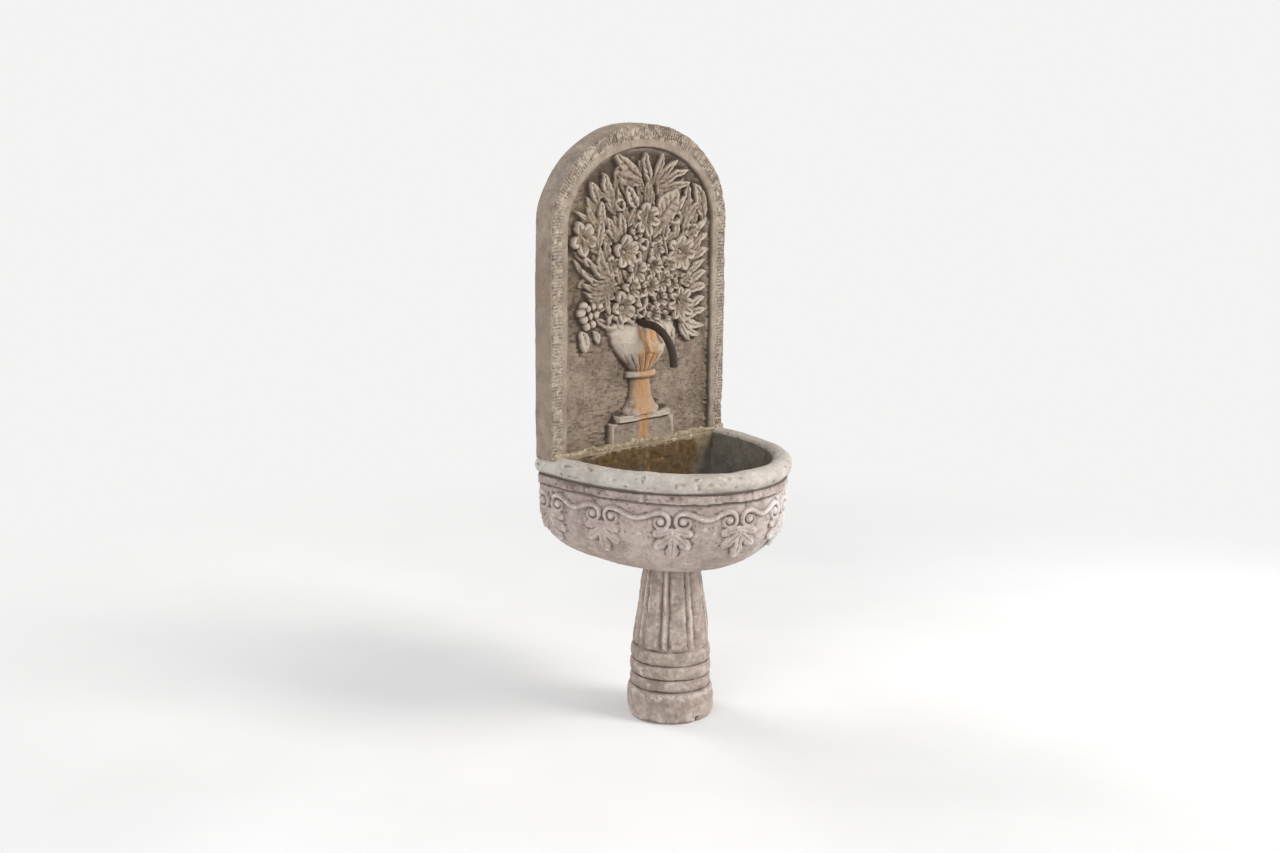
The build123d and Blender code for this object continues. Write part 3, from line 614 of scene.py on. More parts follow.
def urn(x, z):
    """The urn in half relief. At each height its half width and relief come from its stations, and the
    height across it is half an oval. Ribs stand round the bowl's foot, growing to their tips, and leaves
    hang on its front; a collar and a two-step plinth are added."""
    half = np.interp(z, URN[:, 0], URN[:, 1])
    relief = np.interp(z, URN[:, 0], URN[:, 2])
    across = np.clip(x / half, -1, 1)
    oval = dome(across)
    top = np.where((np.abs(x) < half) & (z > 1004) & (z < 1312), relief * oval, ABSENT)
    turn = np.degrees(np.arcsin(across)) / 17.0
    off = 2 * np.abs(turn - np.round(turn))
    rise = np.clip((z - 1152) / 62.0, 0, 1)
    ribs = (6.0 + 12.0 * rise) * dome(off / 0.92) - 5.0
    tongues = np.where((z > 1150) & (rise < 1 - 0.28 * off**2), ribs, 0.0)
    hung = np.maximum.reduce([leaf(x, z, *one) for one in HUNG])
    top = top + np.where(top > 0, tongues * oval + np.maximum(hung, 0), 0)
    bead = dome((z - 1140) / 11.5)
    collar = np.where((np.abs(x) < 66) & (bead > 0), (24 + 22 * bead) * dome(x / 66), ABSENT)
    step = np.minimum.reduce([ease(128 - np.abs(x), 0, 5), ease(1010 - z, 0, 5), ease(z - 982, 0, 4)]) * 32.0
    plinth = np.minimum(ease(152 - np.abs(x), 0, 5), ease(986 - z, 0, 5)) * 25.0
    return np.maximum.reduce([top, collar, step, plinth])


def edge_gap(x, z):
    """How far a point of the field lies inside its arched edge, in mm: the half width times 1 less its
    share of the way out to the edge."""
    return FIELD_HALF * (1 - np.hypot(x / FIELD_HALF, np.clip(z - SPRING, 0, None) / FIELD_RISE))


def field_height(x, z):
    """The sunk field: rough ground with a cove along its edge, and the bouquet and the urn standing on it,
    their hollows cut deeper and all of it a little worn. Carving wanders with noise and is drawn in to
    0.965 of its width."""
    flat = joined(x, 0.0, z)
    warp_x, warp_z = [rubble(flat, [(40.0, 5.5), (15.0, 2.2)], seed) for seed in (3, 4)]
    flowers = bouquet((x + warp_x) / 0.965, z + warp_z)
    carved = np.maximum(flowers, urn((x - 11 + 0.4 * warp_x) / 0.965, z + 0.4 * warp_z))
    ground = rubble(flat, [(90.0, 1.8), (26.0, 1.4), (9.0, 0.9)], 11)
    flakes = 3.2 * ease(noise(flat, (14.0, 1.0, 7.0), 22), 0.2, 0.7)
    ground += 2.2 * noise(flat, (30.0, 1.0, 8.0), 21) - flakes
    ground += 13.0 * ease(22 - edge_gap(x, z), 0, 22)
    high = np.maximum(carved, ground)
    high = high + 0.4 * (high - soften(high, 3)) * (carved > ground)
    high = np.where(carved > ground, 0.6 * soften(high, 1) + 0.4 * high, high)
    return high + rubble(flat, [(12.0, 0.6), (5.0, 0.5)], 31) * ease(high, 2, 6)


# The field's grid runs a little way behind the border, and is split in two pieces at one row
field_columns, field_rows, split_row, behind = 344, 484, 206, 5.0
across = np.linspace(-FIELD_HALF - behind, FIELD_HALF + behind, field_columns)
arch_top = SPRING + (FIELD_RISE + behind) * dome(across / (FIELD_HALF + behind))
upward = np.linspace(0, 1, field_rows)[:, None]
field_z = (PANEL_FOOT - behind) + upward * (arch_top - PANEL_FOOT + behind)
field_x = np.broadcast_to(across, field_z.shape)
relief = field_height(field_x, field_z)
field_points = joined(field_x, FIELD - relief, field_z)
field_normals = grid_normals(field_points)

# Grime and painted shade of the field: in its hollows and pits, darker towards the top, less on the urn
# where painted light evens out its shading, and a painted shadow line along its edge
# Painted light on the urn, to make it look evenly lit
urn_painted_light = ease(relief, 6, 16) * ease(1325 - field_z, 0, 20) * ease(field_z, 1196, 1226)
rim_gap = edge_gap(field_x, field_z)
pitted = ease(noise(field_points * [1, 0, 1], (14.0, 1.0, 7.0), 22), 0.15, 0.7) * ease(5 - relief, 0, 3)
bare = 0.45 * ease(6 - relief, 0, 6) * ease(field_z, 1215, 1330)
sunk = dirt_and_shade_of_hollows(relief, 2.0, (16.0, 10.0), (6.0, 5.0)) + bare
sunk = np.clip(sunk + 0.45 * pitted + 0.24 * ease(field_z, 1690, 1840), 0, 1) * (1 - 0.6 * urn_painted_light)
# A painted shadow line along the field's edge
sunk = np.clip(sunk * (0.3 + 0.7 * ease(rim_gap, 10, 34)) + 0.6 * ease(9 - rim_gap, 0, 6), 0, 1)

# Pale wear and painted highlight of the field: on what stands above its surroundings, less towards the top,
# and painted light on the urn
field_pale_and_highlight = np.clip((relief - soften(relief, 7)) / 8.0, 0, 1) * ease(relief, 4, 9) + 0.25 * ease(relief, 10, 24)
field_pale_and_highlight = field_pale_and_highlight + 0.35 * ease(relief, 26, 34) * ease(1330 - field_z, 0, 30) + 0.55 * urn_painted_light
field_pale_and_highlight = field_pale_and_highlight * (1 - 0.25 * ease(field_z, 1690, 1840))

# The rust run below the spout, the damp foot and the olive tint on the left
drip = 47.0 + 6.0 * noise(joined(0.0, 0.0, field_z), 45.0, 41) + 3.0 * noise(field_points, 14.0, 42)
drip = drip * (0.62 + 0.38 * ease(field_z, 985, 1035))
blots = 0.80 + 0.35 * noise(field_points, (16.0, 16.0, 40.0), 43)
field_stain = ease(drip - np.abs(field_x - 14), -18, 20) * ease(SPOUT_HEIGHT - 2 - field_z, 0, 26) * blots
olive = ease(-field_x, 60, 230) * ease(field_z, 1320, 1450) * ease(1830 - field_z, 0, 140)
field_damp = 0.45 * ease(985 - field_z, 0, 70) + 0.42 * olive * (0.85 + 0.4 * noise(field_points, 50.0, 45))
for name, low, high in (("panel_urn", 0, split_row + 1), ("panel_bouquet", split_row, field_rows)):
    part = slice(low, high)
    marks = dict(zip(MARKS, (sunk[part], field_pale_and_highlight[part], field_stain[part], field_damp[part])))
    made(name, {"points": field_points[part], "normals": field_normals[part], "marks": marks},
         field_finish, ["back_panel"], (0, 2000, 1400))


def arch_path(count_side, count_arch):
    """The panel's border from the left foot over the arch to the right foot: the inner and outer line, x
    and z."""
    side = np.linspace(PANEL_FOOT - 4, SPRING, count_side, endpoint=False)
    angle = np.linspace(np.pi, 0, count_arch)
    flat = np.ones(count_side)
    inner_x = np.concatenate([-FIELD_HALF * flat, FIELD_HALF * np.cos(angle), FIELD_HALF * flat])
    outer_x = np.concatenate([-PANEL_HALF * flat, PANEL_HALF * np.cos(angle), PANEL_HALF * flat])
    inner_z = np.concatenate([side, SPRING + FIELD_RISE * np.sin(angle), side[::-1]])
    outer_z = np.concatenate([side, SPRING + ARCH_RISE * np.sin(angle), side[::-1]])
    return inner_x, inner_z, outer_x, outer_z


def border_profile():
    """Across the border: its share from the inner to the outer line, and y. Inner wall, rounded arris,
    face, worn outer arris, side face and a tuck at the back."""
    turn = np.linspace(0, np.pi / 2, 9)
    wall = np.linspace(0, 1, 13)[:-1]
    share = np.concatenate([
        -0.05 + 0.06 * wall, 0.01 + 0.10 * (1 - np.cos(turn)), np.linspace(0.11, 0.89, 36)[1:-1],
        0.89 + 0.11 * np.sin(turn), np.ones(24), 1 - 0.04 * (1 - np.cos(turn[1::2])),
        [0.90, 0.80, 0.70, 0.60, 0.56]])
    y = np.concatenate([
        PANEL_FRONT + 33.0 - 26.85 * wall, PANEL_FRONT + 6.15 - 6.15 * np.sin(turn),
        np.full(34, PANEL_FRONT), PANEL_FRONT + 8.0 * (1 - np.cos(turn)),
        np.linspace(PANEL_FRONT + 8.0, 320.0, 25)[1:],
        320.0 + 3.6 * np.sin(turn[1::2]), [323.6, 323.6, 323.6, 323.4, 318.0]])
    return share[:, None], y[:, None]


inner_x, inner_z, outer_x, outer_z = arch_path(230, 400)
share, depth_y = border_profile()
border = joined(inner_x + share * (outer_x - inner_x), depth_y, inner_z + share * (outer_z - inner_z))
border_out = turned_out(grid_normals(border), border, (0, 280, 1400), (45, 430))

# Tool marks on the face, worn and chipped arrises, and an outline that waves a little
on_face = (depth_y < PANEL_FRONT + 14) & (share > 0.05)
outline = joined(border[..., 0], 0.0, border[..., 2])
pecked = on_face * ease(share, 0.30, 0.36) * ease(1.0 - share, 0.0, 0.04)
pits = ease(noise(border, 5.0, 51), 0.05, 0.6) + 0.7 * ease(noise(border, 10.0, 52), 0.15, 0.6)
beat = walked(outer_x, outer_z) / 10.5 + 0.35 * noise(outline, 70.0, 53) + 0.12 * noise(border, 12.0, 55)
strokes = ease(np.sin(2 * np.pi * beat), 0.0, 0.75) * ease(noise(border, 14.0, 54), -0.35, 0.2)
wear = 0.9 + rubble(border, [(110.0, 1.3), (34.0, 0.9), (10.0, 0.45), (4.5, 0.3)], 61)
arris = bell(share - 0.94, 0.07) * (depth_y < PANEL_FRONT + 19)
chips = 3.6 * ease(noise(border, 30.0, 71), 0.15, 0.6) + 3.0 * ease(noise(border, 11.0, 72), 0.2, 0.6)
chips = arris * chips
cut = np.clip(wear, 0, 9) + chips + pecked * (0.6 + 1.1 * pits + 2.2 * strokes)
cut = cut + 0.6 * on_face * ease(noise(border, 6.0, 74), 0.4, 0.8)
waves = 1.5 * (1 + noise(outline, 95.0, 73)) + 0.8 * (1 + noise(outline, 40.0, 75))
waves = waves * ease(share, 0.7, 0.95)
inward = joined(inner_x - outer_x, 0.0, inner_z - outer_z)
border_points = border - border_out * cut[..., None]
border_points += inward / np.linalg.norm(inward, axis=-1, keepdims=True) * waves[..., None]

# Grime and painted shade in the tool marks, painted shade on the inner wall and over the right and the top,
# the side face darker with damp and painted shade, and its crown paler with wear and painted light
border_dirt_and_shade = np.clip(pecked * (0.20 * pits + 0.42 * strokes) + 0.06 * chips, 0, 0.9)
# Painted shade on the inner wall
border_dirt_and_shade = np.maximum(border_dirt_and_shade, ease(depth_y, PANEL_FRONT + 2, PANEL_FRONT + 20) * (share < 0.05))
# Painted shade over the right and the top of the border
painted_shade_right_top = np.maximum(ease(border[..., 0], 60, 330), ease(border[..., 2], 1780, 1920))
border_dirt_and_shade = border_dirt_and_shade + 0.24 * painted_shade_right_top * np.clip(0.8 + 0.6 * noise(border, 60.0, 77), 0, 1)
border_pale_and_highlight = np.clip(pecked * (0.50 - 0.6 * strokes - 0.35 * pits + 0.35 * noise(border, 7.0, 76)), 0, 1)
side_face = ((share > 0.97) & (depth_y > PANEL_FRONT + 8)) * np.ones_like(cut)
crown = side_face * ease(border[..., 2], 1590, 1730)
border_marks = {"dirt_and_shade": border_dirt_and_shade + 0.18 * (side_face - crown), "pale_and_highlight": border_pale_and_highlight + 0.3 * crown,
                "damp": 0.22 * (side_face - crown)}
made("panel_border", {"points": border_points, "marks": border_marks},
     panel_finish, ["back_panel"], (0, 280, 1400))


def graded(low, high, coarse, places):
    """Steps from low to high, coarse apart, with finer steps near the given places: middle, reach and
    step."""
    fine = [np.arange(middle - reach, middle + reach + step / 2, step) for middle, reach, step in places]
    plain = np.linspace(low, high, int((high - low) / coarse) + 1)
    for middle, reach, step in places:
        plain = plain[np.abs(plain - middle) > reach + step]
    return np.sort(np.concatenate([plain, *fine]))


def back_face():
    """The sawn back of the panel: flat and rough, pushed in at the supply pocket and at the two wall
    sockets."""
    half_top, rise_top, socket = PANEL_HALF - 17, ARCH_RISE - 17, 0.6326
    z = graded(PANEL_FOOT - 2, SPRING, 9.0, [(SPOUT_HEIGHT, 46.0, 2.2)])
    rise = SPRING + rise_top * np.sin(np.linspace(0, np.pi / 2, 70))[1:]
    z = np.sort(np.concatenate([z, rise[np.abs(rise - SOCKET_HEIGHT) > 15], np.arange(1646.0, 1675.0, 1.6)]))
    u = graded(-1.0, 1.0, 0.026, [(0.0, 0.12, 0.0056), (-socket, 0.036, 0.004), (socket, 0.036, 0.004)])
    half = (half_top * dome(np.clip((z - SPRING) / rise_top, 0, 1)))[:, None]
    x = u[None, :] * half
    z = np.broadcast_to(z[:, None], x.shape)
    flat = joined(x, 0.0, z)
    rough = 0.9 + 0.5 * noise(flat, (300.0, 1.0, 5.0), 81) + rubble(flat, [(60.0, 0.5), (14.0, 0.4)], 82)
    pocket = np.hypot(x, z - SPOUT_HEIGHT)
    sockets = np.hypot(np.abs(x) - SOCKET_SIDE, z - SOCKET_HEIGHT)
    sawn = np.clip(rough, 0.3, 3) + 5.0 * ease(np.abs(x) / half.clip(1), 0.965, 1.0)
    sawn = sawn + 33.4 * ease(39.5 - pocket, 0, 3.0) + 40.0 * ease(9.2 - sockets, 0, 2.6)
    # Painted shade round the supply pocket, and grime in blotches
    dirt_and_shade = 0.55 * ease(41 - pocket, 0, 4) + 0.2 * ease(noise(flat, 30.0, 83), 0.1, 0.6)
    return {"points": joined(x, WALL - sawn, z), "marks": {"dirt_and_shade": dirt_and_shade, "damp": 0.15}}


made("panel_back", back_face(), panel_finish, ["back_panel"], (0, 100, 1400))


# Basin

def plan_loop(side_count, curve_count, back_count):
    """A half-round plan as weights: x is half times the first; y is the shoulder, front and back, each
    times its own. Right side, right curve, left curve, left side and then the straight back."""
    t = np.linspace(0, 1, 2000)
    run = np.stack([(1 - t)**3 + 3 * t * (1 - t)**2 + 3 * FULLNESS * t * t * (1 - t),
                    3 * FULLNESS * t * (1 - t)**2 + 3 * t * t * (1 - t) + t**3], -1)
    half, deep = HALF_WIDTH - FRIEZE_INSET, CURVE_START - FRONT - FRIEZE_INSET
    arc = walked(half * run[:, 0], deep * run[:, 1])
    even = np.interp(np.linspace(0, arc[-1], curve_count, endpoint=False), arc, t)
    cx, cy = [np.interp(even, t, run[:, k]) for k in (0, 1)]
    down = np.linspace(0, 1, side_count, endpoint=False)
    back = np.linspace(-1, 1, back_count, endpoint=False)
    zero, one = np.zeros, np.ones
    x = np.concatenate([one(side_count), cx, [0.0], -cx[:0:-1], -one(side_count), back])
    front = np.concatenate([zero(side_count), cy, [1.0], cy[:0:-1], zero(side_count), zero(back_count)])
    rear = np.concatenate([1 - down, zero(2 * curve_count), down, one(back_count)])
    return x, 1 - front - rear, front, rear


def plan_at(loop, inset, back, share=1.0):
    """The plan set in from the lip by inset and drawn in to the pedestal's axis by a share; arrays of rows
    by columns."""
    x, shoulder, front, rear = loop
    inset, share = np.atleast_1d(inset)[:, None], np.atleast_1d(share)[:, None]
    y = shoulder * CURVE_START + front * (FRONT + inset) + rear * back
    return (HALF_WIDTH - inset) * share * x, AXIS + (y - AXIS) * share


def lobe(a, z, root, tip, wide, high):
    """One blunt lobe of a palmette: a pad from root to tip, broadest near its end and with a waved outline,
    a sunk vein along its middle and two short ones beside it."""
    _, s, d = beside(a, z, root, tip)
    inner = np.clip(s, 0, 1)
    half = 0.5 * wide * np.sqrt(np.clip(1 - (1.55 * inner - 0.62)**4 / 0.75, 0, 1)) * (0.5 + 0.5 * inner)
    half = half * (1 + 0.10 * np.cos(15.0 * (inner - 0.62)))
    edge = ease(half - np.abs(d), 0.0, 3.6) * ((s > 0) & (s < 1.0))
    vein = bell(d, 2.8) * ease(0.94 - inner, 0, 0.25)
    vein += 0.7 * bell(np.abs(d) - 0.56 * half, 2.4) * ease(inner, 0.38, 0.60) * ease(0.98 - inner, 0, 0.1)
    return high * edge * (0.64 + 0.36 * dome(d / np.maximum(half, 1e-3)) - 0.34 * vein)


# Middles of the frieze's motifs along the plan from the front, to the left positive
MOTIFS = np.array([-780.0, -560.0, -340.0, -120.0, 78.0, 298.0, 540.0, 768.0])


def frieze(a, z):
    """The frieze's carving at a distance a along the plan. A motif is two volutes, a palmette of five lobes
    under them and half a swag to each side. A volute's band goes from the swag over a ball, down its inner
    side and under it; the band's middle radius and width shrink with the bearing round the ball."""
    between = 0.5 * (MOTIFS[1:] + MOTIFS[:-1])
    ends = np.concatenate([[MOTIFS[0] - 110], between, [MOTIFS[-1] + 110]])
    near = np.searchsorted(between, a)
    a = a - MOTIFS[near]
    span = np.where(a < 0, MOTIFS[near] - ends[near], ends[near + 1] - MOTIFS[near])
    m = np.abs(a)
    ball_out, ball_z = 36.0, 760.0
    dx, dz = m - ball_out, z - ball_z
    r = np.hypot(dx, dz)
    ball = 13.5 * dome(r / 14.0)
    bearing = np.mod(np.arctan2(-dx, dz), 2 * np.pi) / (2 * np.pi)
    middle, half = 27.0 - 7.0 * bearing - 6.0 * ease(bearing, 0.66, 0.90), 8.6 - 4.6 * bearing
    band = (12.0 - 4.0 * bearing) * dome((r - middle) / half) * ease(0.90 - bearing, 0, 0.08)
    out = np.clip((m - ball_out) / (span - ball_out), 0, 1)
    low = 764.0 + 23.0 * (0.5 + 0.5 * np.cos(np.pi * out))
    slope = 1 / np.sqrt(1 + 0.30 * np.sin(np.pi * out)**2)
    swag = 10.5 * dome((z - low) * slope / (9.6 - 1.0 * ease(out, 0, 0.4))) * (m > ball_out)
    palm = np.maximum(lobe(m, z, (2, 733), (64, 717), 40, 11.0), lobe(m, z, (1, 716), (58, 672), 46, 13.0))
    tip = lobe(a, z, (0, 710), (0, 634), 55, 14.0)
    stalk = 11.5 * dome(a / 7.0) * ease(744 - z, 0, 8) * ease(z - 690, 0, 14)
    return np.maximum.reduce([ball, band, swag, palm, tip, stalk])


# The body's grid: an upright wall, then an arc down to the pedestal, finer as far as the carving goes
side_columns, curve_columns, back_columns = 44, 306, 64
wall_rows, carved_rows, bowl_rows, under_rows = 42, 52, 65, 6
body_loop = plan_loop(side_columns, curve_columns, back_columns)
beta_low = math.asin((SHOULDER - FRIEZE_FOOT) / (SHOULDER - BOWL_BASE))
beta = np.concatenate([
    np.linspace(0, beta_low, carved_rows + 1)[1:], np.linspace(beta_low, np.pi / 2, bowl_rows + 1)[1:]])
body_z = np.concatenate([
    np.linspace(834.0, SHOULDER, wall_rows), SHOULDER - (SHOULDER - BOWL_BASE) * np.sin(beta),
    np.full(under_rows, BOWL_BASE)])
body_share = np.concatenate([
    np.ones(wall_rows), BOWL_SHARE + (1 - BOWL_SHARE) * np.cos(beta),
    BOWL_SHARE * np.linspace(0.95, 0.30, under_rows)])
body_x, body_y = plan_at(body_loop, np.full(len(body_z), FRIEZE_INSET), WALL, body_share)
body_points = joined(body_x, body_y, body_z[:, None])
body_out = turned_out(grid_normals(body_points, True), body_points, (0, AXIS, 700), (5, 300))

# The frieze on the wall and its rough ground; the flat back has neither
walk = walked(body_x[0], body_y[0])
walk = (walk - walk[np.argmin(body_y[0])])[None, :] * np.ones_like(body_x)
flank = (np.arange(body_x.shape[1]) < 2 * (side_columns + curve_columns))[None, :]
warp_a, warp_z = [2.0 * noise(body_points, 40.0, seed) for seed in (101, 102)]
carving = frieze(walk + warp_a, body_points[..., 2] + warp_z) * flank
worn = np.clip(0.92 + 0.26 * noise(body_points, 70.0, 103) + 0.14 * noise(body_points, 24.0, 104), 0.55, 1.0)
carving = (0.55 * carving + 0.45 * soften(carving, 1)) * worn * ease(820 - body_points[..., 2], 0, 6)
ground = rubble(body_points, [(120.0, 2.0), (42.0, 1.5), (14.0, 0.8), (6.0, 0.5)], 111) - 2.4
ground -= 2.0 * ease(noise(body_points, 9.0, 121), 0.45, 0.8)
swell = carving + np.minimum(ground, 0.3) - 0.5
fade = ease(body_points[..., 2], BOWL_BASE - 1, BOWL_BASE + 14)
swell = np.where(flank, swell, np.minimum(swell, -0.3)) * fade
body_points = body_points + body_out * swell[..., None]
body_points[..., 1] = np.minimum(body_points[..., 1], WALL - 0.4)
body_normals = grid_normals(body_points, True)

# Grime and painted shade in the carving's hollows, painted shade under the band, pale wear and painted
# highlight on what stands out, and a pale wash of painted light that grows towards the right
body_dirt_and_shade = dirt_and_shade_of_hollows(swell, 2.4, (14.0, 7.0), (5.0, 3.2)) * 0.82
body_dirt_and_shade = body_dirt_and_shade + 0.3 * hollows(swell, 2.4, 40.0, 6.0)
body_dirt_and_shade = np.clip(body_dirt_and_shade + 0.75 * flank * ease(body_points[..., 2], 800, 816), 0, 1)
body_pale_and_highlight = 0.5 * np.clip((swell - soften(swell, 8)) / 9.0, 0, 1) + 0.2 * ease(carving, 4, 12)
# Painted light: a pale wash that grows towards the right
body_pale_and_highlight += 0.74 * ease(90 - walk, 0, 190) * np.clip(0.65 + 0.6 * noise(body_points, 60.0, 107), 0, 1)
carved_end = wall_rows + carved_rows
for name, low, high in (("basin_frieze", 0, carved_end), ("basin_bowl", carved_end - 1, len(body_z))):
    part = slice(low, high)
    marks = {"dirt_and_shade": body_dirt_and_shade[part], "pale_and_highlight": body_pale_and_highlight[part]}
    made(name, {"points": body_points[part], "normals": body_normals[part], "wrap": True, "marks": marks},
         basin_finish, ["basin"], (0, AXIS, 720))


def rim_profile():
    """The rolled lip and the band, as inset and z: out of the inner wall, over the oval roll, into a
    groove, down the band and into the groove above the frieze."""
    roll = np.radians(np.linspace(146, -52, 66))
    inset = np.concatenate([
        [61.0, 64.0, 66.0, 67.4], LIP_WIDE - LIP_WIDE * np.cos(roll), [17.5, 18.2, 16.0, 13.4, 12.3],
        np.full(14, 12.0), [12.6, 14.4, 17.5, 21.5, 26.0, 29.0]])
    z = np.concatenate([
        [888.0, 891.0, 894.0, 896.4], LIP_MIDDLE + LIP_HIGH * np.sin(roll),
        [850.5, 848.0, 846.0, 844.2, 842.0], np.linspace(840.0, 818.5, 14),
        [816.4, 814.6, 813.2, 812.4, 812.0, 812.0]])
    return inset, z


# The rim goes round the plan without its back; its first rows stay tucked into the hollow's wall
rim_side, rim_curve, tucked_rows, lip_rows = 60, 190, 4, 71
rim_loop = [weights[: 2 * (rim_side + rim_curve)] for weights in plan_loop(rim_side, rim_curve, 10)]
inset, rim_z = rim_profile()
rim_x, rim_y = plan_at(rim_loop, inset, WALL - 0.2)
rim_points = joined(rim_x, rim_y, rim_z[:, None])
rim_out = turned_out(grid_normals(rim_points), rim_points, (0, AXIS, 400), (30, 250))
rim_wear = rubble(rim_points, [(130.0, 1.8), (46.0, 1.2), (15.0, 0.6), (6.0, 0.3)], 131) - 2.0
rim_wear -= 2.6 * ease(noise(rim_points, 18.0, 132), 0.45, 0.8)
band_rough = rubble(rim_points, [((60.0, 60.0, 12.0), 1.8), (12.0, 1.3), (5.0, 0.7)], 133) - 1.8
rough_rows = (np.arange(len(rim_z)) > lip_rows + 2)[:, None]
rim_swell = np.minimum(rim_wear + band_rough * rough_rows, 0)
rim_swell[:tucked_rows] = 0
rim_points = rim_points + rim_out * rim_swell[..., None]
seat = rim_points[..., 1] > PANEL_FRONT - 5
rim_points[..., 2] = np.where(seat, np.minimum(rim_points[..., 2], LEDGE - 0.4), rim_points[..., 2])
# Painted shade in the grooves under the roll and above the frieze, grime and painted shade in the worn
# hollows, grime on the rough band, darker towards the left end, and pale wear with painted highlight on what
# stands out
groove = (bell(rim_z - 848, 3.2) + bell(rim_z - 813, 3.4))[:, None]
rim_dirt_and_shade = groove + 0.7 * hollows(rim_swell, 3.0, 12.0, 2.6)
rim_dirt_and_shade = np.clip(rim_dirt_and_shade + rough_rows * (0.12 + 0.32 * noise(rim_points, 22.0, 134)), 0, 1)
rim_dirt_and_shade = np.clip(rim_dirt_and_shade + 0.16 * ease(-rim_points[..., 0], 180, 370), 0, 1)
rim_pale_and_highlight = np.clip((rim_swell - soften(rim_swell, 4)) / 2.0, 0, 1) * 0.6
inner_side = ease(inset, 46, 70)[:, None] * (np.arange(len(rim_z)) < 40)[:, None] * np.ones_like(rim_x)
lip, band = slice(0, lip_rows + 2), slice(lip_rows, None)
for name, rows, finish in (("basin_lip", lip, lip_finish), ("basin_band", band, basin_finish)):
    marks = {"dirt_and_shade": rim_dirt_and_shade[rows], "pale_and_highlight": rim_pale_and_highlight[rows], "damp": 0.55 * inner_side[rows]}
    marks = {key: np.pad(value, ((0, 0), (1, 1)), mode="edge") for key, value in marks.items()}
    made(name, {"points": closed_ends(rim_points[rows]), "marks": marks},
         finish, ["basin"], (0, AXIS, 400))


# The hollow: an upright wall, an arc down to the floor, and the floor drawn in to the waste
hollow_rows, arc_rows, floor_rows = 49, 46, 16
hollow_loop = plan_loop(14, 150, 110)
turn = np.linspace(0, np.pi / 2, arc_rows)
hollow_z = np.concatenate([
    np.linspace(898, HOLLOW_SHOULDER, hollow_rows + 1)[:-1],
    HOLLOW_SHOULDER - (HOLLOW_SHOULDER - FLOOR) * np.sin(turn), np.full(floor_rows, FLOOR)])
hollow_share = np.concatenate([
    np.ones(hollow_rows), FLOOR_SHARE + (1 - FLOOR_SHARE) * np.cos(turn), np.full(floor_rows, FLOOR_SHARE)])
hollow_x, hollow_y = plan_at(hollow_loop, np.full(len(hollow_z), HOLLOW_INSET), HOLLOW_BACK, hollow_share)
drawn_in = np.concatenate([
    np.zeros(hollow_rows + arc_rows), np.linspace(1 / floor_rows, 1, floor_rows)])[:, None]
bearing = np.arctan2(hollow_y[-1] - AXIS, hollow_x[-1])
hollow_x = hollow_x + drawn_in * (WASTE_RADIUS * np.cos(bearing) - hollow_x)
hollow_y = hollow_y + drawn_in * (AXIS + WASTE_RADIUS * np.sin(bearing) - hollow_y)
hollow_points = joined(hollow_x, hollow_y, hollow_z[:, None])
hollow_in = -turned_out(grid_normals(hollow_points, True), hollow_points, (0, AXIS, 800), (20, 150))
hollow_cut = np.clip(rubble(hollow_points, [(80.0, 1.6), (24.0, 1.2), (8.0, 0.7)], 141) + 1.6, 0, 6)
hollow_cut = hollow_cut * (1 - 0.9 * drawn_in) * ease(897.5 - hollow_points[..., 2], 0, 22)
hollow_points = hollow_points - hollow_in * hollow_cut[..., None]

# Grime and painted shade in the hollow's pits, darker low down, rust below the spout, and slime at the back
# and on the left
at_x, at_y, at_z = np.moveaxis(hollow_points, -1, 0)
hollow_dirt_and_shade = np.clip(0.5 * hollows(-hollow_cut, 4.0, 16.0, 2.5) + 0.35 * ease(700 - at_z, 0, 80), 0, 1)
rust_run = ease(150 - np.abs(at_x - 40), 0, 120) * ease(at_y, 134, 219) * ease(at_z, 620, 840)
rust_run = rust_run * (0.65 + 0.9 * noise(hollow_points, (26.0, 26.0, 45.0), 144))
wet_back = ease(at_y, 196, 218) * ease(at_z, 730, 830) * (1 - 0.75 * ease(at_x, 205, 322))
hollow_damp = ease(at_y, -26, 184) * np.maximum(ease(at_x, 330, 120), wet_back)
spots = 1.05 + 0.35 * noise(hollow_points, 55.0, 142) + 0.35 * noise(hollow_points, 20.0, 143)
hollow_damp = np.clip(hollow_damp * spots, 0, 1)
hollow_marks = {"dirt_and_shade": hollow_dirt_and_shade, "stain": 0.42 * rust_run, "damp": hollow_damp}
made("basin_hollow", {"points": hollow_points, "wrap": True, "marks": hollow_marks},
     hollow_finish, ["basin"], (0, AXIS, 800), towards=True)


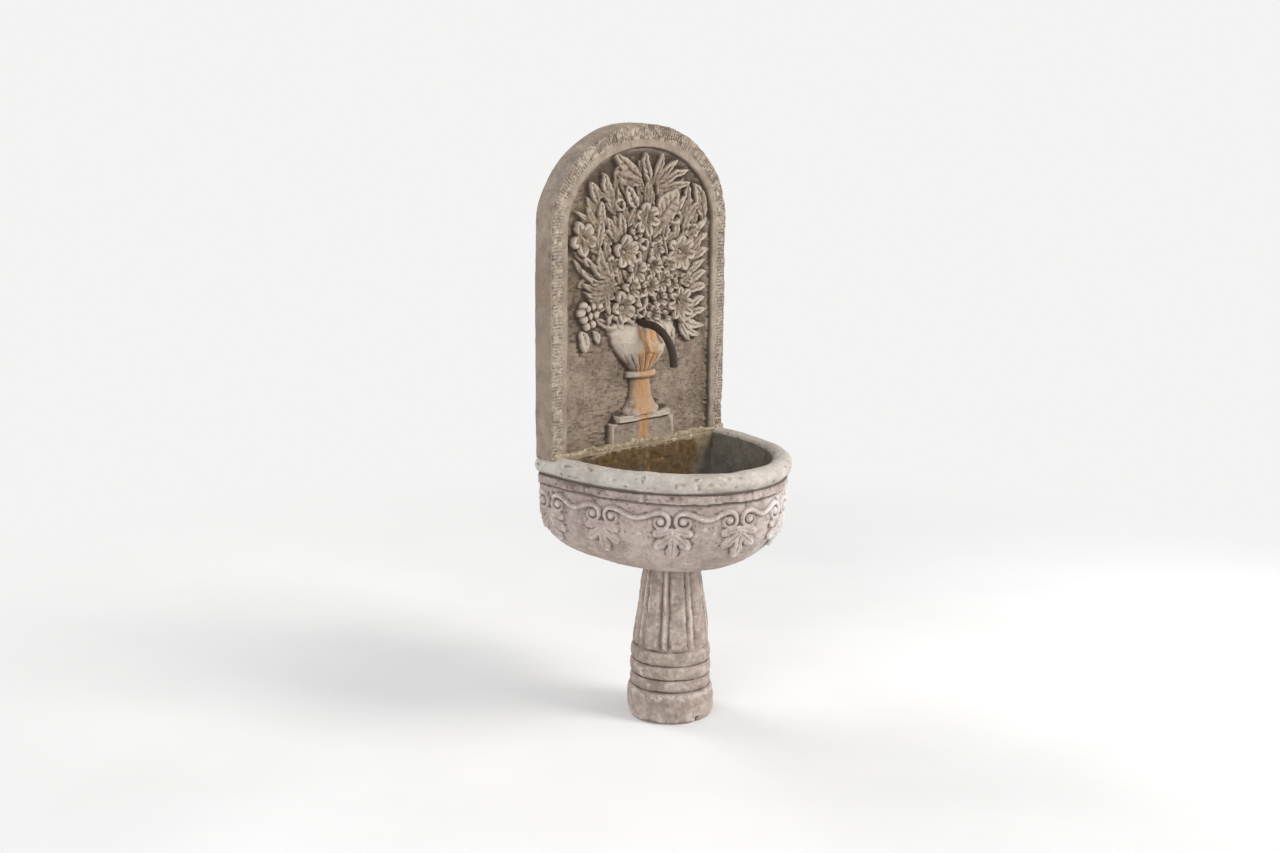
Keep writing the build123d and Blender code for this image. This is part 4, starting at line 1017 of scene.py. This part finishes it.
def ledge_strip():
    """The basin's back wall above the water: a profile up its front, over a worn arris and back to the
    wall."""
    turn = np.linspace(0, np.pi / 2, 9)
    y = np.concatenate([np.full(16, 227.2), 227.2 + 5.0 * (1 - np.cos(turn)), np.linspace(233, 322.0, 22)])
    z = np.concatenate([np.linspace(846, 898, 16), 898.5 + 5.2 * np.sin(turn), np.full(22, 903.7)])
    points = joined(np.linspace(-342, 342, 300), y[:, None], z[:, None])
    wear = np.clip(rubble(points, [(60.0, 0.9), (16.0, 0.8), (6.0, 0.5)], 151) + 0.4, 0, 3)
    top = ease(points[..., 2], 896, 903)
    points = points + wear[..., None] * joined(0.0, 1 - top, -0.7 * top)
    runs = 0.7 + 0.6 * noise(points, (16.0, 16.0, 30.0), 153)
    rust = ease(60 - np.abs(points[..., 0] - 14), 0, 50) * runs
    crust = ease(points[..., 2] + 7.0 * noise(points, 24.0, 154) + 4.0 * noise(points, 9.0, 156), 884, 897)
    spots = 1.0 + 0.3 * noise(points, 55.0, 142) + 0.3 * noise(points, 20.0, 143)
    dry_end = ease(points[..., 0], 205, 322)
    damp = np.clip((1 - crust) * spots, 0, 1) * (1 - 0.75 * dry_end)
    # Grime and painted shade in the worn pits, and darker at the dry right end
    dirt_and_shade = 0.3 * ease(wear, 0.8, 2.4) + 0.42 * dry_end * (1 - crust)
    chalk = crust * ease(noise(points, (16.0, 30.0, 9.0), 157), 0.2, 0.6)
    marks = {"dirt_and_shade": dirt_and_shade, "pale_and_highlight": chalk, "stain": 0.3 * rust, "damp": damp}
    return {"points": points, "marks": marks}


def back_strip():
    """The basin's back face above the bowl: a rough flat strip whose top edge rolls forward."""
    flat_z = np.linspace(805, 899, 36)
    z = np.concatenate([flat_z, [901.5, 903.0, 903.6, 903.6]])
    y = np.concatenate([
        WALL - 0.5 - 2.6 * ease(822 - flat_z, 0, 16), [WALL - 0.9, WALL - 2.0, WALL - 4.5, WALL - 12.0]])
    points = joined(np.linspace(-379, 379, 300), y[:, None], z[:, None])
    rough = np.clip(rubble(points, [(40.0, 0.6), (14.0, 0.5), (6.0, 0.4)], 155) + 0.6, 0, 3)
    points = points - rough[..., None] * np.array([0, 1.0, 0])
    # Grime and painted shade in the rough pits
    return {"points": points, "marks": {"dirt_and_shade": 0.4 * ease(rough, 0.9, 2.0)}}


made("basin_ledge", ledge_strip(), ledge_finish, ["basin"], (0, 268, 800))
made("basin_back", back_strip(), basin_finish, ["basin"], (0, 100, 860))


def mortar_line():
    """The squeezed bed under the panel: a lumpy bead whose front and top wander with noise along the
    joint."""
    x = np.linspace(-391, 391, 420)
    angle = np.linspace(-0.5 * np.pi, 0.5 * np.pi, 22)[:, None]
    spots = joined(x, 0.0, 0.0)
    bulge = np.clip(5.0 + 3.5 * noise(spots, 34.0, 161) + 2.5 * noise(spots, 12.0, 162), 1.0, 11.0)
    lift = np.clip(8.0 + 5.0 * noise(spots, 46.0, 163) + 3.5 * noise(spots, 15.0, 164), 2.0, 16.0)
    y = PANEL_FRONT - 1.35 - bulge * np.cos(angle)
    z = 900.4 + (11.6 + lift) * (0.5 + 0.5 * np.sin(angle))
    front = joined(x, y, z)
    front += rubble(front, [(9.0, 0.9), (4.0, 0.6)], 165)[..., None] * np.array([0, -1.0, 0.3])
    deep = 84.6
    top = front[-1:] + np.array([0, 1.0, 0]) * np.array([6.0, deep])[:, None, None]
    top[1, :, 2] = 911.0
    foot = front[:1] + np.array([0, deep, 0])
    points = np.concatenate([foot, front, top, foot])
    points[..., 1] = np.minimum(points[..., 1], WALL - 0.5)
    return {"points": closed_ends(points)}


made("panel_mortar", mortar_line(), bed_finish, ["panel_bed"], (0, 282, 908))


# Pedestal

# Grooves below, between and above the three rings, each with its share of grime and painted shade, and the
# swell of each ring
GROOVES = [(107, 0.5), (150, 1.0), (198, 1.0), (246, 0.8)]
RING_SWELLS = [7.5, 8.5, 6.5]
PEDESTAL_HEIGHTS = [0, 4, 12, 26, 45, 90, 101, 107, 246, 330, 400, PEDESTAL_TOP]
PEDESTAL_RADII = [134, 139, 143, 145.5, 146, 143.5, 141, 134, 129.5, 121, 112, 95]
NARROW_REED, BROAD_REED = 13.5, 31.5


def pedestal_surface():
    """The pedestal's radius at each height and angle: a drum, three swelling rings between grooves, and a
    tapered shaft cut into eight broad and eight narrow reeds; a notch is broken out of the foot."""
    drum_top, shaft_foot = GROOVES[0][0], GROOVES[-1][0]
    z = np.concatenate([
        np.linspace(0, drum_top, 46)[:-1], np.linspace(drum_top, shaft_foot, 72)[:-1],
        np.linspace(shaft_foot, PEDESTAL_TOP - 1, 100)])[:, None]
    angle = np.linspace(0, 2 * np.pi, 420, endpoint=False)
    radius = np.interp(z, PEDESTAL_HEIGHTS, PEDESTAL_RADII)
    for (low, _), (high, _), swell in zip(GROOVES[:-1], GROOVES[1:], RING_SWELLS):
        part = np.clip((z - low) / (high - low), 0, 1)
        radius = np.where((z > low) & (z < high), 128.5 + swell * np.sin(np.pi * part)**0.45, radius)
    skin = joined(radius * np.sin(angle), radius * np.cos(angle), z)
    lap = (np.degrees(angle) + 10.0 + 1.4 * noise(skin, 75.0, 175) + 0.6 * noise(skin, 26.0, 176)) / 45.0
    off = (lap - np.round(lap)) * 45.0
    in_narrow = np.abs(off) < NARROW_REED / 2
    spot = np.where(in_narrow, off / (NARROW_REED / 2), (np.abs(off) - 22.5) / (BROAD_REED / 2))
    crown = np.where(in_narrow, 0.5 + 3.4 * dome(spot), 6.0 * np.clip(1 - spot**2, 0, 1)**0.6)
    gap = np.abs(np.abs(off) - NARROW_REED / 2) * np.pi / 180
    groove = 7.0 * bell(gap * radius, 6.5)
    end = shaft_foot + 1 + 9.0 * np.where(in_narrow, 0.0, spot**2)
    reeded = ease(z - end, 0, 12) * ease(PEDESTAL_TOP + 6 - z, 0, 10)
    reeded = reeded * np.clip(0.84 + 0.34 * noise(skin, 60.0, 177) + 0.2 * noise(skin, 22.0, 178), 0.35, 1.0)
    radius = radius + reeded * (crown - groove) - 3.0 * ease(z, 242, 251)
    points = joined(radius * np.sin(angle), AXIS - radius * np.cos(angle), z)
    wear = rubble(points, [(90.0, 2.6), (36.0, 1.9), (12.0, 0.9), (5.0, 0.4)], 171) - 1.2
    wear -= 1.8 * ease(noise(points, 10.0, 172), 0.45, 0.8)
    chip = ease(noise(points, 60.0, 173) + 0.4 * noise(points, 20.0, 174), 0.1, 0.7)
    chip = 3.0 * chip * ease(26 - z, 0, 22)
    turn = np.mod(np.degrees(angle) - 355.7 + 180.0, 360.0) - 180.0
    bite = bell(turn, 2.8) * ease(27 - z, 0, 12) * 17.0
    joints = sum(share * bell(z - level, 3.4) for level, share in GROOVES)
    joints = joints * np.clip(0.75 + 0.5 * noise(points, 50.0, 179), 0.2, 1)
    shape = np.minimum(radius + np.minimum(wear, 1.5) - chip - bite - 1.8 * joints, 146.0)
    points = joined(shape * np.sin(angle), AXIS - shape * np.cos(angle), z)
    # Grime and painted shade in the hollows, grooves and joints; pale wear and painted highlight on what
    # stands out
    dirt_and_shade = dirt_and_shade_of_hollows(shape, 2.4, (16.0, 7.5), (6.0, 4.5)) * 0.8 + 0.12 * ease(soften(shape, 14) - shape, 0, 4)
    dirt_and_shade = np.clip(dirt_and_shade + 0.4 * joints, 0, 1)
    pale_and_highlight = np.clip((shape - soften(shape, 9)) / 6.0, 0, 1)

    def drawn_in(row, share, height):
        """A row of points drawn in to the axis by a share, at a height."""
        return joined(row[:, 0] * share, AXIS + (row[:, 1] - AXIS) * share, height)[None]

    foot = [drawn_in(points[0], share, 0.0) for share in (0.25, 0.6, 0.97)]
    caps = [drawn_in(points[-1], 0.97, PEDESTAL_TOP - 0.2), drawn_in(points[-1], 0.5, PEDESTAL_TOP - 0.1)]
    marks = {"dirt_and_shade": dirt_and_shade, "pale_and_highlight": pale_and_highlight}
    marks = {key: np.pad(value, ((3, 2), (0, 0)), mode="edge") for key, value in marks.items()}
    return {"points": np.concatenate([*foot, points, *caps]), "wrap": True, "marks": marks}


made("pedestal_reeded", pedestal_surface(), pedestal_finish, ["pedestal"], (0, AXIS, 260))


# Spout

def bent_pipe():
    """A circle carried along the spout's line: straight through the panel, a quarter bend down, and a short
    drop; the skin is a little lumpy, and the bore is carried back up inside."""
    straight_rows, drop_rows, around = 40, 7, 40
    straight = np.linspace(WALL - 2.4, PANEL_FRONT - SPOUT_REACH + SPOUT_BEND, straight_rows)
    turn = np.linspace(0, np.pi / 2, 90)[1:]
    drop = np.linspace(0, SPOUT_DROP, drop_rows + 1)[1:]
    y = np.concatenate([
        straight, straight[-1] - SPOUT_BEND * np.sin(turn), np.full(drop_rows, straight[-1] - SPOUT_BEND)])
    z = np.concatenate([
        np.full(straight_rows, SPOUT_HEIGHT), SPOUT_HEIGHT - SPOUT_BEND * (1 - np.cos(turn)),
        SPOUT_HEIGHT - SPOUT_BEND - drop])
    lean = np.concatenate([np.zeros(straight_rows), turn, np.full(drop_rows, np.pi / 2)])
    angle = np.linspace(0, 2 * np.pi, around, endpoint=False)

    def ring(rows, radius):
        """Circles of that radius across the line at the given rows."""
        up = np.sin(angle) * radius
        return joined(np.cos(angle) * radius, y[rows][:, None] - up * np.sin(lean[rows])[:, None],
                      z[rows][:, None] + up * np.cos(lean[rows])[:, None])

    rows = np.arange(len(y))
    lumps = rubble(ring(rows, SPOUT_RADIUS), [(30.0, 0.5), (9.0, 0.45), (4.0, 0.25)], 181)
    outer = ring(rows, SPOUT_RADIUS + np.clip(lumps - 0.5, -1.6, 0.0))
    mouth = ring(rows[-1:], SPOUT_RADIUS - 1.6)
    bore = ring(rows[-1:straight_rows:-6], SPOUT_BORE)
    back = ring(rows[:1], SPOUT_BORE)
    return {"points": np.concatenate([back, outer, mouth, bore]), "wrap": True}


made("spout_pipe", bent_pipe(), iron_finish, ["spout"], (0, 150, 1150))

# Finishes of the solids that show as they are
SHOWN = [
    (bed_finish, ("spout_packing", "pedestal_bed")),
    (steel_finish, ("wall_anchors", "panel_dowels", "pedestal_dowels")),
    (steel_finish, ("spout_washer", "waste_washer", "drain_pipe")),
    (brass_finish, ("spout_lock_nut", "waste_body", "waste_nut", "standpipe", "pull_bar")),
    (rubber_finish, ("waste_gasket", "standpipe_seal")),
]
for finish, nodes in SHOWN:
    for node in nodes:
        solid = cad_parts[node]
        solid.data.materials.clear()
        solid.data.materials.append(finish)


# Floor, light and camera

BACKDROP = (0.90, 0.90, 0.895)


def floor_finish():
    """A pale matt floor that keeps the shadow and, to the camera, runs out into the backdrop's colour far
    away."""
    f = Finish("studio_floor")
    tone = f.mix(f.step(f.cloud(1.5, 3, 0.5), 0.3, 0.7), (0.74, 0.735, 0.725), (0.77, 0.765, 0.755))
    matt = f.node("ShaderNodeBsdfPrincipled", None, {"Base Color": tone, "Roughness": 0.9})
    glow = f.node("ShaderNodeEmission", None, {"Color": (*BACKDROP, 1), "Strength": 1.0})
    reach = f.node("ShaderNodeVectorMath", {"operation": "LENGTH"}, {0: f.place}, output="Value")
    far = f.step(reach, 1.2, 3.8) * f.eyed()
    both = f.node("ShaderNodeMixShader", None, {0: far, 1: matt, 2: glow})
    f.node("ShaderNodeOutputMaterial", None, {"Surface": both})
    return f.material


floor_mesh = bpy.data.meshes.new("studio_floor")
floor_mesh.from_pydata([(-30, -30, 0), (30, -30, 0), (30, 30, 0), (-30, 30, 0)], [], [(0, 1, 2, 3)])
floor_mesh.materials.append(floor_finish())
floor_object = bpy.data.objects.new("studio_floor", floor_mesh)
bpy.context.scene.collection.objects.link(floor_object)


def studio_world():
    """Even pale light all round; the eye sees the backdrop's colour instead."""
    world = bpy.data.worlds.new("studio_world")
    f = Finish("studio_world", world)
    lit = f.node("ShaderNodeBackground", None, {"Color": (0.86, 0.88, 0.92, 1), "Strength": 0.50})
    shown = f.node("ShaderNodeBackground", None, {"Color": (*BACKDROP, 1), "Strength": 1.0})
    both = f.node("ShaderNodeMixShader", None, {0: f.eyed(), 1: lit, 2: shown})
    f.node("ShaderNodeOutputWorld", None, {"Surface": both})
    return world


bpy.context.scene.world = studio_world()


def softbox(name, place, aim, size, power, colour):
    """A square lamp at a place, turned to a point."""
    lamp = bpy.data.lights.new(name, "AREA")
    lamp.shape, lamp.size, lamp.energy, lamp.color = "SQUARE", size, power, colour
    holder = bpy.data.objects.new(name, lamp)
    holder.location = place
    holder.rotation_euler = (Vector(aim) - Vector(place)).to_track_quat("-Z", "Y").to_euler()
    bpy.context.scene.collection.objects.link(holder)


softbox("key_lamp", (2.7, -4.9, 5.0), (0, 0, 1.0), 2.6, 362.0, (1.0, 0.98, 0.96))
softbox("fill_lamp", (-3.6, -1.8, 2.0), (0, 0, 1.0), 2.8, 72.0, (0.98, 0.985, 1.0))
softbox("side_lamp", (3.7, -1.5, 0.9), (0, 0, 0.75), 1.6, 52.0, (0.94, 0.975, 1.0))
softbox("back_lamp", (-0.8, 3.6, 3.2), (0, 0, 1.1), 2.4, 90.0, (1.0, 0.99, 0.97))

# The camera looks at the target from this azimuth, elevation and distance, with the photograph's slight roll
AZIMUTH, ELEVATION, ROLL = math.radians(-43.655), math.radians(11.923), math.radians(0.596)
DISTANCE, TARGET = 5.6161, Vector((-0.1499, 0.0899, 1.0064))
FOCAL_PIXELS, PHOTO_PIXELS, SENSOR = 1737.7, 1280, 36
camera = bpy.data.cameras.new("camera")
camera.lens = FOCAL_PIXELS / PHOTO_PIXELS * SENSOR
camera.sensor_width = SENSOR
holder = bpy.data.objects.new("camera", camera)
level = math.cos(ELEVATION)
look_back = Vector((math.sin(AZIMUTH) * level, -math.cos(AZIMUTH) * level, math.sin(ELEVATION)))
turned = (-look_back).to_track_quat("-Z", "Y").to_matrix().to_4x4() @ Matrix.Rotation(ROLL, 4, "Z")
holder.matrix_world = Matrix.Translation(TARGET + look_back * DISTANCE) @ turned
bpy.context.scene.collection.objects.link(holder)
bpy.context.scene.camera = holder
bpy.context.scene.view_settings.view_transform = "Standard"
